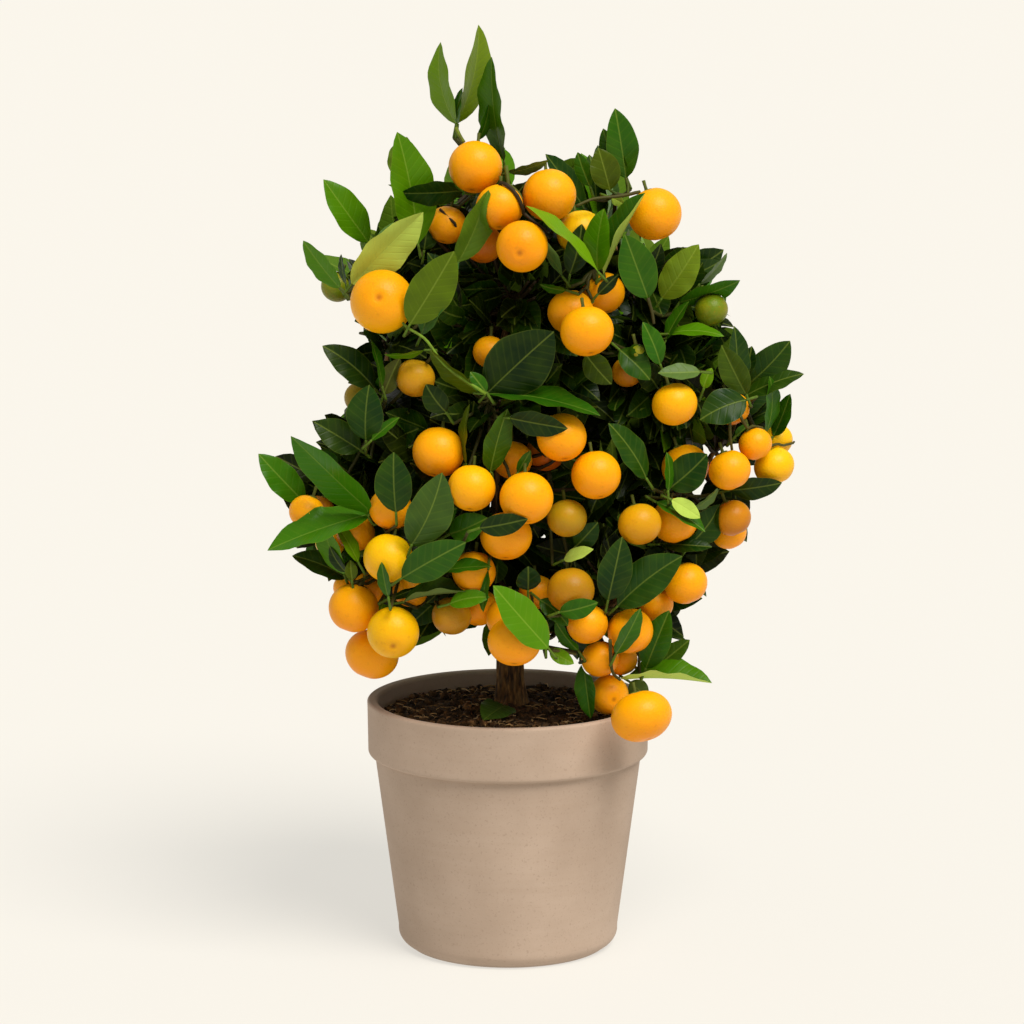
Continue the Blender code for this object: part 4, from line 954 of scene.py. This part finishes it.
def blade_surface(base, tip, seen, toward, roll, rng, along=14, across=8, folded=False):
    """The middle surface of a blade (along+1, across+1, 3) and its marks. Half width at share t of
    the length: w/2 t^0.75 (1-t)^0.85 / 0.331. The midrib arches as 4t(1-t) and the sides fold up."""
    base, tip, toward = np.asarray(base, float), np.asarray(tip, float), np.asarray(toward, float)
    run = tip - base
    length = np.linalg.norm(run)
    ahead = run / length
    face = toward - ahead * toward.dot(ahead)
    face /= np.linalg.norm(face)
    side = np.cross(face, ahead)
    if folded:
        width = min(2.1 * seen, 0.58 * length)
        fold, turn = math.radians(48), math.radians(68)
        if (face * math.cos(turn) + side * math.sin(turn))[2] < 0:
            turn = -turn
    else:
        width = max(seen, 0.46 * length)
        fold = math.radians(rng.uniform(8, 20))
        turn = roll * math.acos(min(1.0, seen / width * 0.98))
    normal = face * math.cos(turn) + side * math.sin(turn)
    side = np.cross(normal, ahead)
    t = np.linspace(0, 1, along + 1)[:, None]
    s = np.linspace(-1, 1, across + 1)[None, :]
    shape = t ** 0.75 * (1 - t) ** 0.85 / 0.331
    half = width / 2 * shape + 0.0004 * (1 - t) + 0.00012
    arch = rng.uniform(0.03, 0.09) * length * 4 * t * (1 - t) - rng.uniform(0.0, 0.06) * length * t ** 3
    arch = arch + 0.06 * length * t ** 3
    phase, count = rng.uniform(0, 6.28), rng.uniform(2.0, 3.4)
    wave = 0.035 * width * np.sin(6.28 * count * t + phase + 1.2 * np.sign(s)) * np.abs(s) ** 2 * shape
    bow = rng.uniform(-0.045, 0.045) * length * 4 * t * (1 - t)
    open_up = fold * (1 - 0.25 * np.abs(s))
    points = (base + ahead * (length * t)[..., None] * np.ones_like(s)[..., None]
              + side * (half * s * np.cos(open_up) + bow)[..., None]
              + normal * (half * np.abs(s) * np.sin(open_up) + arch + wave)[..., None])
    mark = np.stack(np.broadcast_arrays(s + 0 * t, length / MM * t + 0 * s, half / MM * s), -1)
    return points, mark


def add_leaf(gather, points, mark, upper, lower, thick=0.30):
    """Closes a middle surface into a thin double layer, coloured per side."""
    rows, cols = points.shape[:2]
    along = np.gradient(points, axis=0)
    across = np.gradient(points, axis=1)
    normal = np.cross(along, across)
    normal /= np.maximum(np.linalg.norm(normal, axis=2, keepdims=True), 1e-12)
    border = np.zeros((rows, cols), bool)
    border[0], border[-1], border[:, 0], border[:, -1] = True, True, True, True
    half = np.where(border, 0.0, thick * MM / 2)[..., None]
    top, low = points + normal * half, points - normal * half
    number = np.arange(rows * cols).reshape(rows, cols)
    under = number.copy()
    under[~border] = rows * cols + np.arange((~border).sum())
    body = np.concatenate([top.reshape(-1, 3), low[~border]])
    marks = np.concatenate([mark.reshape(-1, 3), mark[~border]])
    up = np.stack([number[:-1, :-1], number[1:, :-1], number[1:, 1:], number[:-1, 1:]], -1).reshape(-1, 4)
    down = np.stack([under[:-1, :-1], under[:-1, 1:], under[1:, 1:], under[1:, :-1]], -1).reshape(-1, 4)
    tint = np.concatenate([np.repeat([upper], len(up), 0), np.repeat([lower], len(down), 0)])
    flag = np.concatenate([np.zeros(len(up)), np.ones(len(down))])
    sharp = np.zeros(len(body), bool)
    sharp[:rows * cols] = border.reshape(-1)
    gather.add(body, np.concatenate([up, down]), mark=marks, tint=tint, flag=flag, sharp=sharp)


LEAF_LIGHT = np.array([0.50, 0.56, 0.30])         # the hex colours are of a leaf in full light


def leaf_colours(text, back, rng):
    """Upper and lower colour: the lower one is paler, and both vary a little from leaf to leaf."""
    upper = np.array(colour(text or MID)) * LEAF_LIGHT * rng.uniform(0.88, 1.12)
    if back:
        lower = np.array(colour(back)) * [1.05, 1.05, 0.8]
    else:
        lower = 0.4 * upper + 0.6 * LEAF_LIGHT * np.array(colour("#7f9c38"))
    return upper, lower * rng.uniform(0.92, 1.08)


print("leaf helpers ready")

# %% [markdown]
# Each spray is a branchlet with leaf stalks. A stalk starts at the branchlet's hub, bends round the
# fruit and ends in the blade's base. The leaf keeps to the depth of its fixed solid: the blade is
# tried at several depths on its line of sight, and the one closest to the solid is kept.

# %% Leaf sprays
rng = np.random.default_rng(5)
covered = [(across, up, radius) for across, up, _, radius, _, _ in FRUIT.values()]
for _, leaves, small in SPRAYS.values():
    covered += [(across, up, radius) for across, up, _, radius, _ in small]
    for a0, u0, a1, u1, width, *_ in leaves:
        for share, part in ((0.1, 0.35), (0.3, 0.5), (0.5, 0.5), (0.7, 0.4), (0.9, 0.2)):
            covered.append((a0 + (a1 - a0) * share, u0 + (u1 - u0) * share, max(1.5, width * part)))
covered = np.array(covered)          # what the crown covers on the elevation


def seen_at(point):
    """Across and up, in millimetres, of a point on the front elevation."""
    ahead = np.array([0, math.cos(TILT), -math.sin(TILT)])
    rise = np.array([0, math.sin(TILT), math.cos(TILT)])
    line = np.asarray(point) - np.asarray(EYE)
    depth = line @ ahead
    return AIM[0] + line[..., 0] / depth * SIGHT / MM, AIM[1] + line @ rise / depth * SIGHT / MM


# The crown's dense middle on the elevation, as overlapping discs: across, up, radius.
DENSE = np.array([
    (-38, 340, 27), (0, 352, 24), (25, 340, 30), (-10, 325, 30), (48, 322, 34), (-42, 308, 26),
    (78, 320, 20), (0, 298, 42), (52, 295, 42), (88, 290, 30), (112, 274, 22), (-30, 270, 42),
    (22, 262, 48), (70, 258, 42), (104, 250, 28), (-58, 250, 30), (-78, 232, 24), (-20, 232, 46),
    (34, 222, 50), (82, 218, 36), (-58, 205, 40), (-8, 196, 42), (44, 188, 42), (72, 190, 24),
    (-30, 182, 26), (16, 172, 24), (60, 166, 20), (-84, 200, 20)], float)


def covered_at(point, slack=1.5):
    """True if the crown's front elevation already has fruit or leaf in front of this point."""
    across, up = seen_at(np.asarray(point))
    near = (np.hypot(covered[:, 0] - across, covered[:, 1] - up) < covered[:, 2] + slack).any()
    return bool(near or (np.hypot(DENSE[:, 0] - across, DENSE[:, 1] - up) < DENSE[:, 2]).any())


def pulled_in(base, tip, width):
    """Moves a back leaf towards the trunk line until the crown hides it from the front."""
    for step in (0.0, 0.006, 0.012, 0.018, 0.025, 0.033, 0.042):
        middle = (base + tip) / 2
        inward = Vector((TRUNK_X * MM - middle.x, 0, 0.260 - middle.z)).normalized() * step
        start, end = base + inward, tip + inward
        side = Vector((width / 2, 0, 0))
        spots = [start, end, (start + end) / 2, (start + end) / 2 + side, (start + end) / 2 - side]
        if all(covered_at(p) for p in spots):
            return start, end
    return None, None


def twig(gather, points, start, end, text, count=12, push=True):
    """A thin round twig through points, kept out of the fruit."""
    path = curve_through(points, count)
    if push:
        path[1:-1] = keep_out(path[1:-1], 0.9)
    points, quads = capped(swept(path, np.linspace(start, end, count) * MM, 7), count, 7)
    gather.add(points, quads, tint=colour(text))


def make_spray(name, source, degrees):
    """The leaves and twigs of one spray, as two pieces in place of the fixed solid."""
    (hub_a, hub_u, hub_d), leaves, _ = SPRAYS[source]
    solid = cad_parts[name].data
    tree = BVHTree.FromPolygons([v.co for v in solid.vertices], [p.vertices for p in solid.polygons])
    hub = turned(spot(hub_a, hub_u, crown_front(hub_a, hub_u) - hub_d)[0], degrees)
    hub = np.asarray(hub)
    if degrees:
        hub = hub + (np.array([TRUNK_X * MM, TRUNK_Y * MM, hub[2] - 0.008]) - hub) * 0.40
    hub = keep_out(hub[None], 1.5)[0]
    eye = np.asarray(turned(EYE, degrees))
    blades, twigs = Gather(), Gather()
    if degrees:
        leaves = [leaf for leaf in leaves if leaf[4] >= 6]
    for k, (a0, u0, a1, u1, width, depth, lean, text, back) in enumerate(leaves):
        front = crown_front((a0 + a1) / 2, (u0 + u1) / 2) - depth
        best = None
        for slide in (0, 4, -4, 8, -8, 12, -12, 16, -16, 20, -20, 26, -26):
            base, scale = spot(a0, u0, front + slide - lean / 2)
            tip, _ = spot(a1, u1, front + slide + lean / 2)
            base, tip = turned(base, degrees), turned(tip, degrees)
            off = blocked = 0.0
            for share in (0.15, 0.35, 0.5, 0.65, 0.85):
                here = base.lerp(tip, share)
                off += (tree.find_nearest(here)[0] - here).length / MM
                blocked += 3.0 * sum(max(0.0, (r - (here - c).length) / MM) for c, r in ALL_BALLS)
            off = off * 0.12 + 0.5 * abs(slide) + blocked
            if best is None or off < best[0]:
                best = (off, base, tip, scale)
        _, base, tip, scale = best
        if degrees:
            base, tip = pulled_in(base, tip, width * scale * MM)
            if base is None:
                continue
        toward = eye - np.asarray((base + tip) / 2)
        showing_under = not text and back
        folded = bool(text and back)
        roll = (1 if k % 2 else -1)
        points, mark = blade_surface(base, tip, width * scale * MM, toward, roll, rng,
                                        16 if width > 9 else 12, 8 if width > 9 else 6, folded)
        if showing_under:
            points, mark = points[:, ::-1], mark[:, ::-1]
        shape = points.shape
        points = keep_out(points.reshape(-1, 3)).reshape(shape)
        upper, lower = leaf_colours(text, back, rng)
        add_leaf(blades, points, mark, upper, lower)
        start = np.asarray(base)
        toward_hub = hub - start
        inward = start - (np.asarray(tip) - start) / np.linalg.norm(np.asarray(tip) - start) * 0.006
        inward = inward + np.array([0, 0.002, -0.001])
        if np.linalg.norm(toward_hub) < 0.008:
            twig(twigs, [hub, start], 0.8, 0.6, "#4c6a12", 6)
        else:
            middle = (hub + inward) / 2 + np.array([0, 0 if degrees else 0.004, -0.002])
            twig(twigs, [hub, middle, inward], 1.0, 0.75, "#40421a", 10)
            twig(twigs, [inward, (inward + start) / 2, start], 0.72, 0.6, "#55721a", 6)
    nearest = int(np.argmin(np.linalg.norm(wood_points - hub, axis=1)))
    foot = wood_points[nearest]
    bend = (foot + hub) / 2 + np.array([0, 0.003, -0.004])
    twig(twigs, [foot, bend, hub], 1.5, 1.0, "#3d2c14", 14)
    leaf_piece = blades.piece(name.replace("spray", "leaves"), leaf_skin)
    twig_piece = twigs.piece(name.replace("spray", "twigs"), twig_skin)
    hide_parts(name)
    return len(leaves)


count = sum(make_spray(name, name, 0) for name in SPRAYS)
count_back = sum(make_spray(name, source, degrees) for name, (source, degrees) in BACK.items())
print(count, "front leaves,", count_back, "back leaves")

# %% [markdown]
# Between the leaves one sees more leaves, deeper in. The inner ones are given nearly black greens, as
# painted shade for the depth of the crown. They fill the crown behind the front ones, its sides and its
# back. Each is one small grid, and it is kept only where the crown already covers the elevation, so the
# outline of the plant stays as it is laid out.

# %% Filling leaves
rng = np.random.default_rng(11)


def unit(vector):
    """The vector at length one."""
    vector = np.asarray(vector, float)
    return vector / max(np.linalg.norm(vector), 1e-9)


def in_front(point):
    """True if the point is less than 10 mm behind the crown's front, where only laid-out leaves go."""
    across, up = seen_at(np.asarray(point))
    return -point[1] / MM > crown_front(across, up) - 10.0


def fill(name, branchlets, choose, shades, lengths, pull=0.15):
    """Leaves set in turn on both sides of thin branchlets that grow from the wood. choose() gives a
    branchlet's end and the way its leaves face."""
    gather, twigs, made = Gather(), Gather(), 0
    for _ in range(branchlets):
        end, out = choose()
        if end[2] < 0.150 or not covered_at(end, -1.0):
            continue
        foot = wood_points[int(np.argmin(np.linalg.norm(wood_points - end, axis=1) + 0.02 * rng.uniform()))]
        bend = (foot + end) / 2 + np.array([0, 0, -0.10 * np.linalg.norm(end - foot)])
        path = keep_out(curve_through([foot, bend, end], 16), 0.8)
        placed = 0
        for k, share in enumerate(np.linspace(1.0, 0.34, 8)):
            at = path[int(share * 15)]
            along = unit(path[min(15, int(share * 15) + 1)] - path[max(0, int(share * 15) - 2)])
            beside = unit(np.cross(along, out)) * (1 if k % 2 else -1)
            spread = 0.0 if k == 0 else rng.uniform(0.7, 1.3)
            heading = unit(along + beside * spread + out * rng.uniform(-0.1, 0.45) + [0, 0, -pull])
            length = rng.uniform(*lengths) * MM
            base = at + heading * 0.004
            tip = base + heading * length
            if tip[2] < 0.128 or base[2] < 0.132 or not (covered_at(base) and covered_at(tip)):
                continue
            if in_front(base) or in_front(tip) or in_front((base + tip) / 2):
                continue
            toward = unit(out + rng.normal(0, 0.30, 3) + [0, 0, 0.35])
            points, mark = blade_surface(base, tip, length * rng.uniform(0.40, 0.54), toward, 1, rng, 8, 4)
            if sum(covered_at(p) for p in np.concatenate([points[2:7, 0], points[2:7, -1]])) < 8:
                continue
            shape = points.shape
            moved = keep_out(points.reshape(-1, 3)).reshape(shape)
            if np.linalg.norm(moved - points, axis=2).max() > 0.0015:
                continue
            upper, lower = leaf_colours(rng.choice(shades), "", rng)
            add_leaf(gather, moved, mark, upper, lower)
            twig(twigs, [at, (at + base) / 2, base], 0.6, 0.5, "#34401a", 4, False)
            placed += 1
        count = 16
        while count > 3 and in_front(path[count - 1]):
            count -= 1          # a branchlet ends where the laid-out leaves begin
        if placed:
            points, quads = capped(swept(path[:count], np.linspace(1.3, 0.7, 16)[:count] * MM, 7), count, 7)
            twigs.add(points, quads, tint=colour("#2e2412"))
        made += placed
    leaf_piece = gather.piece(name, leaf_skin)
    twig_piece = twigs.piece(name + "_twigs", twig_skin)
    print(name, made, "leaves on", branchlets, "branchlets")


def behind():
    """A branchlet's end behind the crown's front: 16 to 66 mm deeper than the front ellipsoid."""
    row = DENSE[rng.integers(len(DENSE))]
    turn, far = rng.uniform(0, 6.28), row[2] * math.sqrt(rng.uniform(0, 1))
    across, up = row[0] + far * math.cos(turn), row[1] + far * math.sin(turn)
    end = np.asarray(spot(across, up, crown_front(across, up) - rng.uniform(16, 66))[0])
    return end, unit([rng.normal(0, 0.4), -1.0, rng.normal(0.3, 0.4)])


def shell(low_turn, high_turn):
    """A branchlet's end near the crown's outer shell between two headings, facing out."""
    turn = math.radians(rng.uniform(low_turn, high_turn))
    rise = rng.uniform(-0.95, 0.95)
    flat = math.sqrt(max(0.0, 1 - rise * rise))
    out = np.array([math.sin(turn) * flat, -math.cos(turn) * flat, rise])
    end = np.array([0.004, 0.014, 0.270]) + out * np.array([0.108, 0.088, 0.135]) * rng.uniform(0.55, 0.92)
    return end, unit(out * [1, 1, 0.5] + rng.normal(0, 0.2, 3))


def top():
    """A branchlet's end in the upper crown, between the front sprays and the back ones, facing up."""
    end = np.array([rng.uniform(-0.055, 0.060), rng.uniform(-0.030, 0.075), rng.uniform(0.300, 0.378)])
    return end, unit([rng.normal(0, 0.4), rng.normal(0.1, 0.4), 1.0])


fill("leaves_top", 46, top, [OLD, DARK, MID, "#264a10", YOUNG], (20, 34), 0.0)
# painted shade: the inner leaves get nearly black greens for the shade deep inside the crown
fill("leaves_inner", 220, behind, ["#061204", "#0a1c05", "#102a06", "#1a3c08"], (20, 34), 0.05)
fill("leaves_right_shell", 34, lambda: shell(50, 125), [OLD, DARK, MID, "#264a10", YOUNG], (22, 38))
fill("leaves_left_shell", 34, lambda: shell(-125, -50), [OLD, DARK, MID, "#264a10", YOUNG], (22, 38))
fill("leaves_back_shell", 80, lambda: shell(115, 245), [OLD, DARK, MID, "#264a10", YOUNG, FRESH], (22, 40))

# %% [markdown]
# A few bare shoots and flower twigs stand between the leaves: thin, dark or green.
# They lie a few millimetres in front of the leaves behind them.

# %% Shoots, and a fallen leaf on the soil
SHOOTS = [
    ([(-5, 374), (1, 367), (7, 363), (13, 358), (20, 353)], -4, 1.0, "#2c2412"),
    ([(66, 373), (56, 371), (46, 370), (41, 369), (34, 366)], 6, 0.9, "#4a4a1c"),
    ([(-11, 272), (-31, 286), (-41, 299), (-50, 305), (-54, 309)], -6, 0.8, "#6c8a20"),
    ([(114, 266), (119, 256), (128, 246)], 2, 0.9, "#4c4a1a"),
    ([(111, 261), (111, 252), (112, 244)], 2, 0.9, "#4c4a1a"),
    ([(128, 247), (136, 246), (143, 248)], 0, 0.8, "#4c4a1a"),
    ([(-84, 325), (-81, 322), (-79, 319)], 4, 0.9, "#4c5a1a"),
    ([(59, 380), (60, 376), (60, 372)], 12, 0.8, "#4c5a1a"),
    ([(70, 320), (72, 313), (73, 307)], 2, 0.9, "#3c3a16"),
    ([(22, 144), (28, 143), (34, 142)], 2, 0.9, "#5a5424"),
    ([(51, 149), (52, 134), (56, 129)], -4, 0.9, "#4c4a1a"),
    ([(-26, 405), (-24, 401), (-22, 398)], 4, 1.1, "#6b7a1e"),
    ([(-1, 386), (0, 378), (0, 371), (2, 367)], 2, 1.1, "#55601e"),
]
shoots = Gather()
for route, depth, radius, text in SHOOTS:
    path = [spot(a, u, crown_front(a, u) - depth)[0] for a, u in route]
    twig(shoots, path, radius, radius * 0.75, text, 4 * len(route))
shoot_piece = shoots.piece("bare_shoots", twig_skin)


def on_level(across, up, level):
    """The point of a sight line at a height above the ground."""
    line = sight_line(across, up)
    return np.asarray(EYE + line * ((level - EYE.z) / line.z))


fallen = Gather()
base, tip = on_level(-1, 116, 0.1198), on_level(-12.5, 108.5, 0.1195)
points, mark = blade_surface(base, tip, 0.0165, np.array([0.1, -0.1, 1.0]), 1, rng, 12, 6)
points[..., 2] = np.maximum(points[..., 2], soil_height(points[..., 0], points[..., 1]) + 0.0004)
add_leaf(fallen, points, mark, colour("#3c5a1c"), colour("#5a6a3c"))
fallen_piece = fallen.piece("fallen_leaf", leaf_skin)
print(len(SHOOTS), "shoots")

# %% [markdown]
# The plant stands on a wide pale floor that carries on behind it, so there is no horizon, as on a
# paper sweep. A soft key light comes from the upper right and the front; the room round it is one
# pale colour on all sides, and it keeps the shadows open.

# %% Floor, light and camera
bpy.ops.mesh.primitive_plane_add(size=80.0)
floor = bpy.context.object
floor.name = "floor_paper"
paper, tree, shader = finish("matt cream paper", Base_Color=(*colour("#8e8b85"), 1), Roughness=0.95,
                             Specular_IOR_Level=0.0, Emission_Strength=0.61)
shader.inputs["Emission Color"].default_value = (*colour("#fffcf4"), 1)
floor.data.materials.append(paper)

world = bpy.context.scene.world or bpy.data.worlds.new("room")
bpy.context.scene.world = world
world.use_nodes = True
tree = world.node_tree
back = tree.nodes["Background"]
back.inputs["Color"].default_value = (*colour("#f4f2ee"), 1)
back.inputs["Strength"].default_value = 0.50

lamp = bpy.data.lights.new("window", "SUN")
lamp.energy, lamp.angle = 3.3, math.radians(34)
lamp.color = (1.0, 0.965, 0.91)
sun = bpy.data.objects.new("window", lamp)
sun.rotation_euler = Vector((0.32, -0.47, 0.82)).to_track_quat("Z", "Y").to_euler()
bpy.context.scene.collection.objects.link(sun)

lens = bpy.data.cameras.new("camera")
SENSOR, REACH_OF_LENS = 36.0, 3598 / 1024         # the focal length is this many sensor widths
lens.sensor_width, lens.lens = SENSOR, SENSOR * REACH_OF_LENS
lens.clip_start, lens.clip_end = 0.05, 200.0
camera = bpy.data.objects.new("camera", lens)
camera.location = EYE
camera.rotation_euler = (math.radians(90) - TILT, 0, 0)
bpy.context.scene.collection.objects.link(camera)
bpy.context.scene.camera = camera
bpy.context.scene.view_settings.view_transform = "Standard"
print("camera lens", round(lens.lens, 1), "mm")
